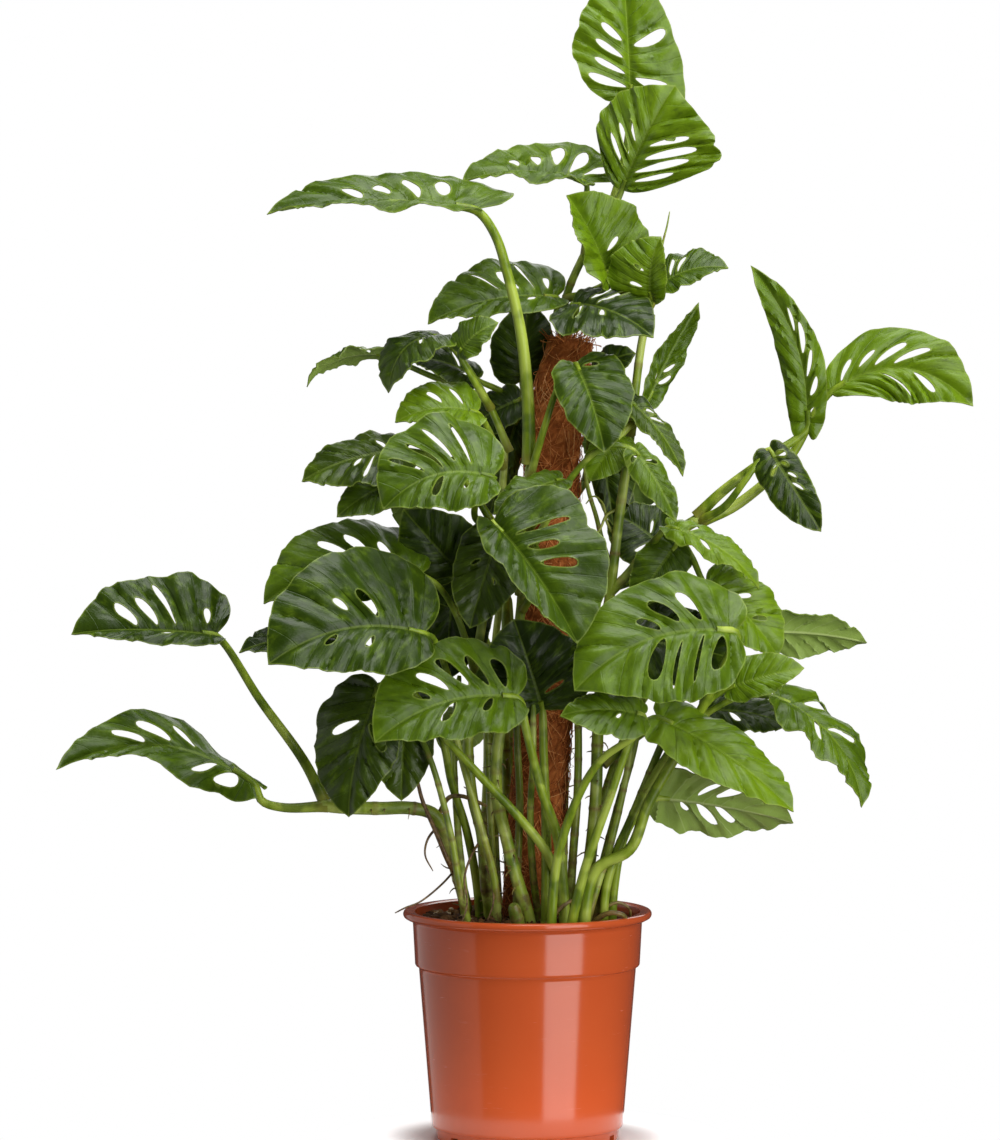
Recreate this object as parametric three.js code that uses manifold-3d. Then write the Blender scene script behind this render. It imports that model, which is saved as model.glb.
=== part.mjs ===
// Swiss-cheese vine (Monstera adansonii) on a coir pole in a plastic nursery pot.
// Millimetres, +Z up, origin at the middle of the pot's base. The fullest side looks along -Y.

import * as THREE from "three";
import { mergeVertices } from "three/addons/utils/BufferGeometryUtils.js";
import Module from "manifold-3d";

const wasm = await Module();
wasm.setup();

// ---------------------------------------------------------------- driving dimensions

const POT_TOP = 176;
const POT_LIP_RADIUS = 95.2;
const POT_COLLAR_RADIUS = 87.8;
const POT_COLLAR_BOTTOM = 134;
const POT_BODY_TOP_RADIUS = 83.2;
const POT_BODY_BOTTOM_RADIUS = 73.4;
const POT_FOOT_RADIUS = 69.6;
const POT_FOOT_HEIGHT = 9;
const POT_WALL = 2;
const POT_FLOOR = 3.4;
const POT_SIDES = 26;
const DRAIN_SLOTS = 6;
const DRAIN_SLOT = [14, 9, 10];

const SOIL_TOP = 162;
const SOIL_MOUND = 3;
const SOIL_SIDES = 16;
const GAP = 0.35;

const COIR_RADIUS = 22;
const COIR_TOP_RADIUS = 19;
const COIR_SIDES = 10;
const STAKE_RADIUS = 9;
const STAKE_SIDES = 6;
const STAKE_BOTTOM = 30;
const STAKE_TOP = 606;
const POLE_STEP = 62;

const BLADE = 0.8;
const BLADE_KEEP_OUT = 0.7;
const STALK_RADIUS = 2.5;
const STALK_SIDES = 4;
const STALK_STEP = 50;
const VINE_SIDES = 6;
const VINE_STEP = 34;
const FEWEST_STEPS = 3;

// ---------------------------------------------------------------- colours and finishes

const finish = (color, roughness) => new THREE.MeshStandardMaterial({ color, roughness, metalness: 0 });
const POT_FINISH = finish(0xc8502d, 0.3);
const SOIL_FINISH = finish(0x2c1c13, 0.95);
const COIR_FINISH = finish(0x7a3b1e, 0.95);
const STAKE_FINISH = finish(0x6b4a30, 0.8);
const VINE_FINISH = finish(0x7f9a3c, 0.5);
const LEAF_FINISHES = {
  bright: finish(0x5d8f1f, 0.35),
  mid: finish(0x48701f, 0.4),
  dark: finish(0x2f4a18, 0.45),
  pale: finish(0x7c9a55, 0.5),
};

// ---------------------------------------------------------------- solids

const point = ([x, y, z]) => new THREE.Vector3(x, y, z);

// Turns a closed three.js geometry into a solid that can be joined and cut.
function toSolid(geometry) {
  const bare = geometry.index ? geometry.clone() : geometry;
  bare.deleteAttribute("normal");
  bare.deleteAttribute("uv");
  const merged = mergeVertices(bare, 1e-3);
  const places = merged.attributes.position.array;
  const corners = [];
  for (let i = 0; i < merged.index.count; i += 3) {
    const [a, b, c] = merged.index.array.slice(i, i + 3);
    if (a !== b && b !== c && c !== a) {
      corners.push(a, b, c);
    }
  }
  const mesh = new wasm.Mesh({
    numProp: 3,
    vertProperties: Float32Array.from(places),
    triVerts: Uint32Array.from(corners),
  });
  return new wasm.Manifold(mesh);
}

function toGeometry(solid) {
  const mesh = solid.getMesh();
  const geometry = new THREE.BufferGeometry();
  geometry.setAttribute("position", new THREE.BufferAttribute(Float32Array.from(mesh.vertProperties), 3));
  geometry.setIndex(new THREE.BufferAttribute(Uint32Array.from(mesh.triVerts), 1));
  return geometry;
}

// Keeps the largest body of a solid, so that no loose scrap of a cut is left.
function largestBody(solid) {
  const bodies = solid.decompose();
  return bodies.reduce((best, body) => (body.volume() > best.volume() ? body : best));
}

// A round stem along a smooth curve, from one radius to another, with flat closed ends.
function stemSolid(places, [startRadius, endRadius], sides, stepLength, extra = 0) {
  const path = new THREE.CatmullRomCurve3(places.map(point), false, "centripetal");
  const steps = Math.max(FEWEST_STEPS, Math.round(path.getLength() / stepLength));
  const section = new THREE.Shape();
  for (let i = 0; i < sides; i += 1) {
    const angle = (2 * Math.PI * i) / sides;
    section[i ? "lineTo" : "moveTo"](Math.cos(angle), Math.sin(angle));
  }
  const geometry = new THREE.ExtrudeGeometry(section, { steps, extrudePath: path, curveSegments: 1 });
  const centres = path.getSpacedPoints(steps);
  const vertex = new THREE.Vector3();
  const position = geometry.attributes.position;
  for (let i = 0; i < position.count; i += 1) {
    vertex.fromBufferAttribute(position, i);
    const distances = centres.map((centre) => Math.abs(centre.distanceTo(vertex) - 1));
    const step = distances.indexOf(Math.min(...distances));
    const radius = startRadius + ((endRadius - startRadius) * step) / steps + extra;
    vertex.sub(centres[step]).multiplyScalar(radius).add(centres[step]);
    position.setXYZ(i, vertex.x, vertex.y, vertex.z);
  }
  return toSolid(geometry);
}

// ---------------------------------------------------------------- leaf blades

// Half of the blade's outline: how far along the midrib, and how far across as a share of
// that half's width. It runs from the stalk round the basal lobe to the tip.
const HALF_OUTLINE = new THREE.CatmullRomCurve3(
  [
    [0, 0], [-0.055, 0.25], [-0.04, 0.55], [0.05, 0.83], [0.2, 0.98], [0.37, 1],
    [0.54, 0.93], [0.7, 0.77], [0.83, 0.53], [0.93, 0.24], [1, 0],
  ].map(([along, across]) => new THREE.Vector3(along, across, 0)),
);
const OUTLINE_SPANS = 10;

// The blade's fold turns from its own angle to the tip's between these shares of the midrib,
// and its margins ripple, out of step with each other.
const FOLD_TURN = [0.15, 0.55];
const RIPPLE = 5 * Math.PI;
const RIPPLE_START = { right: 0.5, left: 2.1 };

// Side veins leave the midrib at these shares of its length, and reach the outline there.
const VEIN_ROOTS = [0, 0.03, 0.11, 0.21, 0.33, 0.46, 0.61, 1];
const VEIN_ENDS = [0, 2.8, 4.3, 5.35, 6.3, 7.2, 8.1, 10];

// A hole lies between two side veins: where it starts and ends on the way from the midrib
// to the margin, and how much of the space between the veins its half width takes.
const HOLES = {
  s: [0.12, 0.46, 0.24],
  m: [0.12, 0.66, 0.27],
  l: [0.1, 0.84, 0.24],
  w: [0.12, 0.74, 0.37],
  o: [0.5, 0.82, 0.26],
  n: [0.12, 0.8, 0.13],
  d: [0.3, 0.5, 0.16],
};

function outlinePlace(span) {
  return HALF_OUTLINE.getPoint(span / OUTLINE_SPANS);
}

// The blade's middle surface: vertices and the triangles between them. A vertex is a place on the
// flat blade, or lies between two side veins whose ends are vertices.
function flatBlade(leaf) {
  const vertices = [];
  const triangles = [];
  const known = new Map();
  const vertexAt = (along, across) => {
    const key = `${along.toFixed(4)} ${across.toFixed(4)}`;
    if (!known.has(key)) {
      known.set(key, vertices.length);
      vertices.push({ along, across });
    }
    return known.get(key);
  };
  [1, -1].forEach((side, half) => {
    for (let cell = 0; cell < VEIN_ROOTS.length - 1; cell += 1) {
      const [rootA, rootB] = [VEIN_ROOTS[cell], VEIN_ROOTS[cell + 1]];
      const [endA, endB] = [VEIN_ENDS[cell], VEIN_ENDS[cell + 1]];
      const finest = leaf.holeSides === 6 ? 2 : 1;
      const stops = cell === 0 || cell === VEIN_ROOTS.length - 2 ? 2 : finest;
      const rim = [];
      for (let stop = cell === 0 ? 1 : 0; stop <= stops; stop += 1) {
        rim.push(outlinePlace(endA + ((endB - endA) * stop) / stops));
      }
      const outline = [new THREE.Vector2(rootA, 0)];
      rim.forEach((place) => outline.push(new THREE.Vector2(place.x, place.y)));
      if (rootB < 1) {
        outline.push(new THREE.Vector2(rootB, 0));
      }
      const ids = outline.map((corner) => vertexAt(corner.x, corner.y * side));
      const holes = [];
      const kind = HOLES[leaf.holes[half][cell - 1]];
      if (kind) {
        const veinEnds = [0, 1, outline.length - 1, outline.length - 2];
        const cellFrame = veinEnds.map((corner) => ids[corner]);
        holes.push(holeCorners(kind, leaf.holeSides).map(([out, across]) => {
          ids.push(vertices.length);
          vertices.push({ cellFrame, out, across });
          return between(veinEnds.map((corner) => outline[corner]), out, across);
        }));
      }
      const corners = [outline, ...holes].flat();
      THREE.ShapeUtils.triangulateShape(outline, holes).forEach(([a, b, c]) => {
        const ahead = THREE.ShapeUtils.isClockWise([corners[a], corners[b], corners[c]]) ? -1 : 1;
        const turned = ahead * side > 0 ? [a, c, b] : [a, b, c];
        triangles.push(turned.map((corner) => ids[corner]));
      });
    }
  });
  return { vertices, triangles };
}

// A hole's corners: how far out from the midrib, and how far across from one vein to the next.
function holeCorners([start, end, width], sides) {
  const shape = sides === 6
    ? [[0, 0], [0.3, 0.85], [0.75, 1], [1, 0.1], [0.75, -1], [0.3, -0.85]]
    : [[0, 0], [0.6, 1], [1, 0.1], [0.55, -1]];
  return shape.map(([far, off]) => [start + (end - start) * far, 0.5 + width * off]);
}

// A place between two side veins, each straight from its root to its end.
function between([rootA, endA, rootB, endB], out, across) {
  return rootA.clone().lerp(endA, out).lerp(rootB.clone().lerp(endB, out), across);
}

// The blade's own directions: along the midrib, to its right, and out of its upper face.
function bladeFrame(leaf) {
  const base = point(leaf.base);
  const along = point(leaf.tip).sub(base);
  const length = along.length();
  along.normalize();
  const up = point(leaf.face);
  up.addScaledVector(along, -up.dot(along)).normalize();
  const right = new THREE.Vector3().crossVectors(along, up);
  return { base, along, up, right, length };
}

// The middle of the midrib, arched out of the blade's plane, bent within it and hooked at the tip.
function midribPlace(leaf, frame, share) {
  const { arch = 6, bend = 0, hook = 4 } = leaf;
  const bow = 4 * share * (1 - share);
  return frame.base.clone()
    .addScaledVector(frame.along, frame.length * share)
    .addScaledVector(frame.up, arch * bow - hook * Math.max(0, share) ** 4)
    .addScaledVector(frame.right, bend * bow);
}

// Where a place on the flat blade lies once it is bent, folded along the midrib, cupped and waved.
function bladePlace(leaf, frame, alongShare, acrossShare) {
  const { fold = 12, foldTip = fold, cup = 4, wave = 2, skew = [0, 0] } = leaf;
  const share = Math.abs(acrossShare);
  const shifted = alongShare + skew[acrossShare > 0 ? 0 : 1] * share * (1 - alongShare);
  const ahead = midribPlace(leaf, frame, shifted + 0.01);
  const heading = ahead.sub(midribPlace(leaf, frame, shifted - 0.01)).normalize();
  const right = frame.right.clone().addScaledVector(heading, -frame.right.dot(heading)).normalize();
  const up = new THREE.Vector3().crossVectors(right, heading);
  const halfWidth = acrossShare > 0 ? leaf.wide[0] : leaf.wide[1];
  const turned = THREE.MathUtils.smoothstep(shifted, ...FOLD_TURN);
  const lean = THREE.MathUtils.degToRad(fold + (foldTip - fold) * turned);
  const start = leaf.wide[0] + (acrossShare > 0 ? RIPPLE_START.right : RIPPLE_START.left);
  const ripple = Math.sin(RIPPLE * alongShare + start);
  const rise = share * halfWidth * Math.sin(lean) + share * share * (wave * ripple - cup);
  return midribPlace(leaf, frame, shifted)
    .addScaledVector(right, Math.sign(acrossShare) * share * halfWidth * Math.cos(lean))
    .addScaledVector(up, rise);
}

// The blade as a closed sheet of the given thickness.
function bladeSolid(leaf, thickness) {
  const frame = bladeFrame(leaf);
  const { vertices, triangles } = flatBlade(leaf);
  const middle = [];
  vertices.forEach(({ cellFrame, along, out, across }) => middle.push(
    cellFrame
      ? between(cellFrame.map((corner) => middle[corner]), out, across)
      : bladePlace(leaf, frame, along, across),
  ));
  const normals = middle.map(() => new THREE.Vector3());
  const edges = new Map();
  triangles.forEach((corners) => {
    const [a, b, c] = corners.map((corner) => middle[corner]);
    const normal = new THREE.Vector3().crossVectors(b.clone().sub(a), c.clone().sub(a));
    corners.forEach((corner, i) => {
      normals[corner].add(normal);
      const next = corners[(i + 1) % 3];
      const twin = `${next} ${corner}`;
      if (!edges.delete(twin)) {
        edges.set(`${corner} ${next}`, [corner, next]);
      }
    });
  });
  const places = [];
  [0.5, -0.5].forEach((side) => middle.forEach((place, i) => {
    const offset = normals[i].clone().normalize().multiplyScalar(side * thickness);
    places.push(...place.clone().add(offset).toArray());
  }));
  const count = middle.length;
  const corners = [];
  triangles.forEach(([a, b, c]) => corners.push(a, b, c, a + count, c + count, b + count));
  edges.forEach(([a, b]) => corners.push(a, a + count, b + count, a, b + count, b));
  const geometry = new THREE.BufferGeometry();
  geometry.setAttribute("position", new THREE.Float32BufferAttribute(places, 3));
  geometry.setIndex(corners);
  return toSolid(geometry);
}

// The stalk ends inside the blade, a little way along the midrib.
function stalkSolid(leaf, extra = 0) {
  const frame = bladeFrame(leaf);
  const radius = leaf.stalkRadius ?? STALK_RADIUS;
  const under = (share, depth) => (
    bladePlace(leaf, frame, share, 0).addScaledVector(frame.up, -depth).toArray()
  );
  const places = [...leaf.stalk, under(-0.01, radius * 0.5), under(0.1, 0)];
  return stemSolid(places, [radius, radius * 0.5], STALK_SIDES, STALK_STEP, extra);
}

// ---------------------------------------------------------------- the layout of vines and leaves

// Each vine is a list of places that its middle passes, from below the soil up.
const VINES = {
  vine_front: {
    radius: [5.2, 3.4],
    places: [[4, -36, 132], [3, -40, 164], [-9, -44, 207], [-17, -44, 238], [-23, -42, 265],
      [-23, -40, 301], [-16, -38, 340], [-8, -36, 385], [-3, -34, 431], [0, -33, 476], [1, -33, 518]],
  },
  vine_left: {
    radius: [4.8, 2.8],
    places: [[-29, -14, 130], [-29, -16, 176], [-32, -22, 198], [-35, -26, 236], [-42, -26, 265],
      [-45, -26, 309], [-41, -24, 354], [-34, -20, 400], [-26, -16, 445], [-20, -12, 490],
      [-17, -9, 530]],
  },
  vine_runner: {
    radius: [4.8, 5.2],
    places: [[-43, 10, 134], [-47, 4, 176], [-55, -6, 208], [-62, -14, 234], [-72, -20, 251],
      [-90, -24, 256], [-112, -27, 256], [-139, -29, 257], [-158, -30, 259]],
  },
  vine_right: {
    radius: [5.2, 3],
    places: [[34, -22, 132], [35, -26, 174], [44, -30, 199], [49, -32, 232], [52, -33, 271],
      [53, -33, 309], [55, -33, 347], [59, -33, 392], [64, -34, 433], [69, -34, 476], [75, -32, 519],
      [79, -30, 551], [86, -24, 608], [93, -18, 640]],
  },
  vine_back_right: {
    radius: [4, 3],
    places: [[27, 30, 132], [27, 32, 179], [28, 34, 256], [29, 34, 333], [31, 34, 411], [34, 32, 488],
      [36, 30, 549], [33, 28, 596], [28, 16, 636], [44, 7, 678], [56, 2, 698]],
  },
  vine_back_left: {
    radius: [4, 3],
    places: [[-12, 28, 132], [-13, 30, 179], [-16, 33, 256], [-17, 34, 333], [-16, 34, 411],
      [-12, 33, 488], [-6, 31, 549], [2, 27, 596]],
  },
};

// Side shoots that grew on a vine, and are one piece with it.
const SHOOTS = [
  { on: "vine_right", radius: [3.8, 4.6],
    places: [[62, -34, 420], [78, -36, 437], [91, -35, 453], [106, -32, 463], [122, -29, 472],
      [134, -27, 479]] },
  { on: "vine_front", radius: [4.8, 4.4], places: [[0, -42, 140], [-6, -50, 164], [-10, -54, 178]] },
  { on: "vine_runner", radius: [2.2, 1.4],
    places: [[-50, -4, 196], [-60, -22, 214], [-69, -26, 236], [-80, -26, 262], [-84, -28, 278]] },
  { on: "vine_runner", radius: [0.9, 0.6],
    places: [[-56, -6, 206], [-66, -14, 196], [-82, -22, 184], [-93, -26, 180], [-101, -27, 176]] },
  { on: "vine_runner", radius: [2, 1.4],
    places: [[-68, -18, 250], [-60, -26, 264], [-50, -34, 266], [-38, -38, 262], [-31, -40, 259]] },
];

// A leaf is set by the places of its stalk joint and its tip, the way its upper face looks
// and its two half widths; its stalk starts on a vine or in the soil.
const LEAVES = [
  { name: "leaf_01", tone: "mid", base: [79, 12, 796], tip: [73, 22, 893], face: [0.1, -1, 0.1],
    wide: [41, 42], arch: 4, hook: -4, fold: 6, skew: [-0.48, 0.08], holes: [".w.l.", "lmmm."],
    holeSides: 6, stalk: [[58, 2, 699], [66, 8, 722], [74, 18, 752], [78, 20, 780]] },
  { name: "leaf_02", tone: "mid", base: [71, -8, 725], tip: [108, -30, 804], face: [-0.2, -0.9, 0.3],
    wide: [60, 40], arch: 4, hook: 8, fold: 4, skew: [0.5, 0.3], holes: ["mwwm.", ".mms."], holeSides: 6,
    stalk: [[58, -1, 696], [64, -6, 708]] },
  { name: "leaf_03", tone: "mid", base: [44, -4, 731], tip: [-50, -20, 735], face: [0, -0.46, 0.89],
    wide: [40, 12], arch: 8, fold: 24, skew: [-0.55, 0], foldTip: 8, holes: ["mmmss", ".s..."],
    stalk: [[44, 7, 677], [45, 4, 700], [44, 0, 718]] },
  { name: "leaf_04", tone: "mid", base: [-39, -46, 711], tip: [-196, -62, 712], face: [0, -0.45, 0.89],
    wide: [34, 13], arch: 7, hook: 5, fold: 19, wave: 2, skew: [-0.24, 0.1], holes: [".mmss", "..s.."],
    stalkRadius: 4,
    stalk: [[1, -33.5, 518.6], [0, -39, 567], [-5, -43, 616], [-15, -45, 661], [-25, -47, 692]] },
  { name: "leaf_05", tone: "bright", base: [62, -18, 658], tip: [32, -34, 722], face: [0.5, -0.8, 0.3],
    wide: [42, 26], arch: 3, fold: 30, wave: 4, holes: ["m.s..", "....."],
    stalk: [[29, 14, 643], [44, -2, 647]] },
  { name: "leaf_06", tone: "bright", base: [93, -36, 644], tip: [98, -44, 690], face: [-0.5, -0.8, 0.2],
    wide: [16, 36], arch: 5, fold: 16, holes: [".....", ".s.s."],
    stalk: [[90, -22, 626], [91, -30, 636]] },
  { name: "leaf_07", tone: "mid", base: [101, -8, 654], tip: [152, -14, 668], face: [0, -0.6, 0.8],
    wide: [15, 25], arch: 6, hook: 2, fold: 8, holes: [".....", ".mm.."],
    stalk: [[91, -30, 636], [98, -18, 646]], joins: "leaf_06" },
  { name: "leaf_08", tone: "dark", base: [34, -22, 639], tip: [94, -66, 618], face: [0.05, -0.64, 0.76],
    wide: [38, 33], arch: 7, fold: 5, holes: [".m.s.", ".ml.."],
    stalk: [[32, 20, 622], [37, 6, 634], [35, -10, 639]] },
  { name: "leaf_09", tone: "pale", base: [92, 10, 565], tip: [133, 16, 639], face: [0.6, -0.7, 0.35],
    wide: [13, 13], arch: -5, fold: 28, wave: 1, holes: [".ms..", ".s..."],
    stalk: [[78, -26, 551], [84, -6, 552]] },
  { name: "leaf_10", tone: "mid", base: [22, -2, 644], tip: [-76, -28, 626], face: [0.05, -0.6, 0.8],
    wide: [43, 20], arch: 10, hook: 2, fold: 8, skew: [-0.12, 0], holes: ["snmn.", ".s..."],
    stalk: [[31, 25, 604], [22, 14, 628]] },
  { name: "leaf_11", tone: "dark", base: [-66, -26, 615], tip: [-108, -52, 577], face: [-0.4, -0.5, 0.78],
    wide: [26, 28], arch: 14, hook: 6, fold: 2, holes: [".....", "..s.."],
    stalk: [[-14, -9, 527], [-28, -16, 560], [-45, -20, 590]] },
  { name: "leaf_12", tone: "pale", base: [-108, -6, 600], tip: [-170, -18, 582], face: [0, 0.3, 0.95],
    wide: [18, 22], arch: 8, hook: 6, fold: 6, holes: [".....", ".w..."],
    stalk: [[-5, 30, 552], [-40, 18, 570], [-76, 4, 585]] },
  { name: "leaf_13", tone: "mid", base: [-52, -44, 603], tip: [-24, -50, 627], face: [-0.2, -0.8, 0.55],
    wide: [12, 18], arch: 4, fold: 4, holes: [".....", "....."],
    stalk: [[-28, -16, 560], [-40, -32, 580]], joins: "leaf_11" },
  { name: "leaf_14", tone: "dark", base: [-38, 4, 582], tip: [-92, -8, 600], face: [0, -0.6, 0.8],
    wide: [20, 20], arch: 5, fold: 8, holes: ["..m..", ".s..."], stalk: [[-4, 28, 560], [-20, 16, 572]] },
  { name: "leaf_15", tone: "mid", base: [211, -32, 546], tip: [167, -46, 668], face: [-0.3, -0.9, 0.2],
    wide: [16, 17], arch: 4, bend: 15, hook: 3, fold: 6, stalkRadius: 3.2, holes: ["smmwm", "....."],
    holeSides: 6, stalk: [[128, -27, 478], [146, -30, 496], [180, -32, 522]] },
  { name: "leaf_16", tone: "bright", base: [229, -20, 572], tip: [337, -34, 563],
    face: [0.1, -0.95, 0.25], wide: [27, 32], arch: 5, bend: -23, hook: 4, fold: 5, skew: [0.3, 0.2],
    stalkRadius: 3.2, holes: ["..n.w", "ssmm."],
    stalk: [[129, -22, 473], [160, -12, 487], [199, -12, 522], [217, -15, 554]] },
  { name: "leaf_17", tone: "dark", base: [182, -52, 530], tip: [221, -58, 468], face: [-0.2, -0.9, 0.3],
    wide: [20, 15], arch: 4, fold: 6, stalkRadius: 2.6, holes: [".s...", "msss."],
    stalk: [[130, -28, 475], [148, -44, 486], [164, -53, 507]] },
  { name: "leaf_18", tone: "bright", base: [36, -60, 595], tip: [58, -88, 530], face: [0.05, -0.8, 0.6],
    wide: [24, 34], arch: 9, hook: 4, fold: 6, holes: [".....", "s...."],
    stalk: [[1, -33, 506], [12, -52, 545], [24, -58, 580]] },
  { name: "leaf_19", tone: "dark", base: [52, -34, 585], tip: [80, -38, 604], face: [-0.2, -0.75, 0.6],
    wide: [16, 16], arch: 5, fold: 10, holes: [".m...", ".m..."],
    stalk: [[36, 29, 575], [48, 8, 575], [52, -20, 578]] },
  { name: "leaf_20", tone: "dark", base: [76, -44, 567], tip: [119, -60, 512], face: [0.4, -0.7, 0.6],
    wide: [11, 13], arch: 6, fold: 6, holes: [".....", ".mm.."],
    stalk: [[78, -34, 541], [80, -42, 555]] },
  { name: "leaf_21", tone: "mid", base: [80, -66, 530], tip: [112, -84, 478], face: [0.15, -0.85, 0.5],
    wide: [14, 12], arch: 5, fold: 6, holes: ["m....", ".m..."],
    stalk: [[0, -33, 468], [24, -56, 498], [50, -66, 528], [66, -68, 534]] },
  { name: "leaf_22", tone: "bright", base: [70, -46, 540], tip: [46, -62, 508], face: [-0.1, -0.9, 0.4],
    wide: [16, 18], arch: 3, fold: 5, holes: [".....", "....."], stalk: [[80, -39, 550], [75, -43, 546]],
    joins: "leaf_20" },
  { name: "leaf_23", tone: "bright", base: [-38, -50, 558], tip: [-100, -62, 554], face: [0, -0.6, 0.8],
    wide: [32, 24], arch: 7, fold: 8, holes: [".m.m.", "....."],
    stalk: [[-19, -11, 515], [-27, -30, 538]] },
  { name: "leaf_24", tone: "pale", base: [-26, -112, 512], tip: [-108, -128, 490],
    face: [-0.1, -0.84, 0.53], wide: [52, 32], arch: 9, bend: 10, hook: 4, fold: 2, wave: 3,
    holes: [".nnnn", ".d.m."], stalk: [[-24, -16, 465], [-40, -60, 480], [-34, -98, 502]] },
  { name: "leaf_25", tone: "mid", base: [26, -62, 508], tip: [-26, -92, 486], face: [0, -0.6, 0.8],
    wide: [18, 16], arch: 4, fold: 4, holes: [".....", "....."],
    stalk: [[3, -36, 455], [14, -52, 476], [24, -60, 498]] },
  { name: "leaf_26", tone: "dark", base: [-92, -48, 530], tip: [-171, -60, 509], face: [0, -0.7, 0.72],
    wide: [22, 32], arch: 6, fold: 8, holes: [".s...", "..ns."],
    stalk: [[-25, -14, 470], [-50, -34, 508], [-76, -46, 526]] },
  { name: "leaf_27", tone: "dark", base: [-6, 4, 566], tip: [-50, 14, 540], face: [-0.1, -0.8, 0.6],
    wide: [20, 18], arch: 4, fold: 4, holes: [".....", "....."], stalk: [[-14, 20, 568], [-9, 11, 567]],
    joins: "leaf_14" },
  { name: "leaf_28", tone: "mid", base: [-80, -56, 436], tip: [-199, -78, 420], face: [-0.1, -0.62, 0.78],
    wide: [53, 36], arch: 15, bend: 4, hook: 6, fold: 6, holes: [".smm.", "....."],
    stalk: [[-40, -24, 360], [-54, -36, 404], [-68, -48, 427]] },
  { name: "leaf_29", tone: "mid", base: [-77, -104, 395], tip: [-192, -140, 376],
    face: [-0.12, -0.92, 0.37], wide: [62, 38], arch: 8, bend: 12, hook: 5, fold: 5, wave: 3,
    holes: ["..sd.", "..d.s"], stalk: [[-46, -30, 316], [-58, -44, 352], [-70, -84, 388]] },
  { name: "leaf_30", tone: "dark", base: [-142, -58, 388], tip: [-218, -66, 381], face: [0, -0.55, 0.83],
    wide: [20, 20], arch: 5, fold: 6, stalkRadius: 3, holes: [".s...", "..s.."],
    stalk: [[-36, -4, 140], [-38, -8, 190], [-47, -16, 240], [-58, -26, 276], [-66, -36, 312],
      [-90, -44, 350], [-118, -54, 378]] },
  { name: "leaf_31", tone: "dark", base: [-22, -52, 468], tip: [-44, -66, 396], face: [0, -0.95, 0.3],
    wide: [26, 26], arch: 4, fold: 5, holes: ["..d..", ".d.d."],
    stalk: [[-6, -37, 420], [-12, -46, 448]] },
  { name: "leaf_32", tone: "mid", base: [-26, -102, 478], tip: [38, -126, 390], face: [0.4, -0.85, 0.35],
    wide: [28, 60], arch: 7, hook: 4, fold: 24, holes: [".....", ".nsm."],
    stalk: [[-4, -38, 408], [10, -60, 436], [0, -88, 466]] },
  { name: "leaf_33", tone: "dark", base: [11, -56, 334], tip: [-10, -66, 402], face: [0, -0.95, 0.3],
    wide: [44, 46], arch: 5, hook: 6, fold: 6, holes: [".s...", "....."], stalkRadius: 3.8,
    stalk: [[14, -46, 140], [14, -50, 240], [12, -52, 300]] },
  { name: "leaf_34", tone: "bright", base: [154, -104, 396], tip: [34, -128, 355],
    face: [-0.06, -0.9, 0.42], wide: [47, 56], arch: 9, bend: 14, hook: 4, fold: 2, wave: 3,
    holes: [".mms.", "wnnw."], stalkRadius: 4.2,
    stalk: [[40, -58, 140], [51, -62, 212], [77, -66, 229], [91, -68, 264], [119, -70, 313],
      [145, -92, 368]] },
  { name: "leaf_35", tone: "bright", base: [134, -64, 430], tip: [190, -70, 376], face: [0.2, -0.8, 0.55],
    wide: [24, 32], arch: 7, fold: 4, holes: [".....", "..s.s"],
    stalk: [[112, -36, 466], [124, -52, 448]] },
  { name: "leaf_36", tone: "pale", base: [172, -22, 390], tip: [258, -26, 384], face: [0.1, 0.75, 0.6],
    wide: [22, 24], arch: 4, hook: 2, fold: 6, holes: [".s...", "....."],
    stalk: [[58, -31, 372], [100, -28, 360], [140, -24, 372]] },
  { name: "leaf_37", tone: "bright", base: [106, -62, 472], tip: [176, -76, 430], face: [0.2, -0.6, 0.77],
    wide: [15, 16], arch: 9, hook: 6, fold: 6, holes: ["..m..", ".s..."],
    stalk: [[91, -35, 453], [98, -54, 464]] },
  { name: "leaf_38", tone: "dark", base: [104, 14, 452], tip: [64, 26, 480], face: [0, -0.8, 0.6],
    wide: [26, 30], arch: 5, fold: 4, holes: ["..s..", ".m..."],
    stalk: [[63, -30, 424], [84, -14, 430], [98, 4, 442]] },
  { name: "leaf_39", tone: "pale", base: [187, -62, 344], tip: [254, -78, 264], face: [0.45, -0.5, 0.74],
    wide: [28, 28], arch: 8, bend: -12, fold: 4, wave: 4, holes: ["..m..", ".w.m."], stalkRadius: 3,
    stalk: [[58, -46, 140], [60, -50, 200], [84, -52, 262], [120, -56, 318], [160, -60, 344]] },
  { name: "leaf_40", tone: "mid", base: [97, -92, 331], tip: [200, -110, 264], face: [0.25, -0.7, 0.66],
    wide: [30, 28], arch: 8, hook: 4, fold: 4, holes: [".....", "....."], stalkRadius: 3.6,
    stalk: [[26, -66, 140], [42, -80, 212], [60, -88, 266], [80, -92, 318]] },
  { name: "leaf_41", tone: "pale", base: [97, -34, 265], tip: [202, -38, 248], face: [0, 0.72, 0.7],
    wide: [38, 34], arch: 3, hook: 2, fold: 2, holes: ["..mw.", ".swm."], stalkRadius: 3.4,
    stalk: [[64, -20, 140], [66, -26, 196], [76, -32, 240]] },
  { name: "leaf_42", tone: "pale", base: [86, -110, 334], tip: [24, -124, 337], face: [0.1, -0.75, 0.65],
    wide: [18, 24], arch: 6, fold: 4, holes: [".....", "..s.."], stalkRadius: 3.4,
    stalk: [[16, -62, 140], [24, -74, 230], [52, -94, 296], [80, -102, 318], [87, -105, 327]] },
  { name: "leaf_43", tone: "dark", base: [134, -22, 330], tip: [200, -26, 321], face: [0, -0.6, 0.8],
    wide: [24, 24], arch: 5, fold: 5, stalkRadius: 3.2, holes: ["..m..", "....."],
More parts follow.
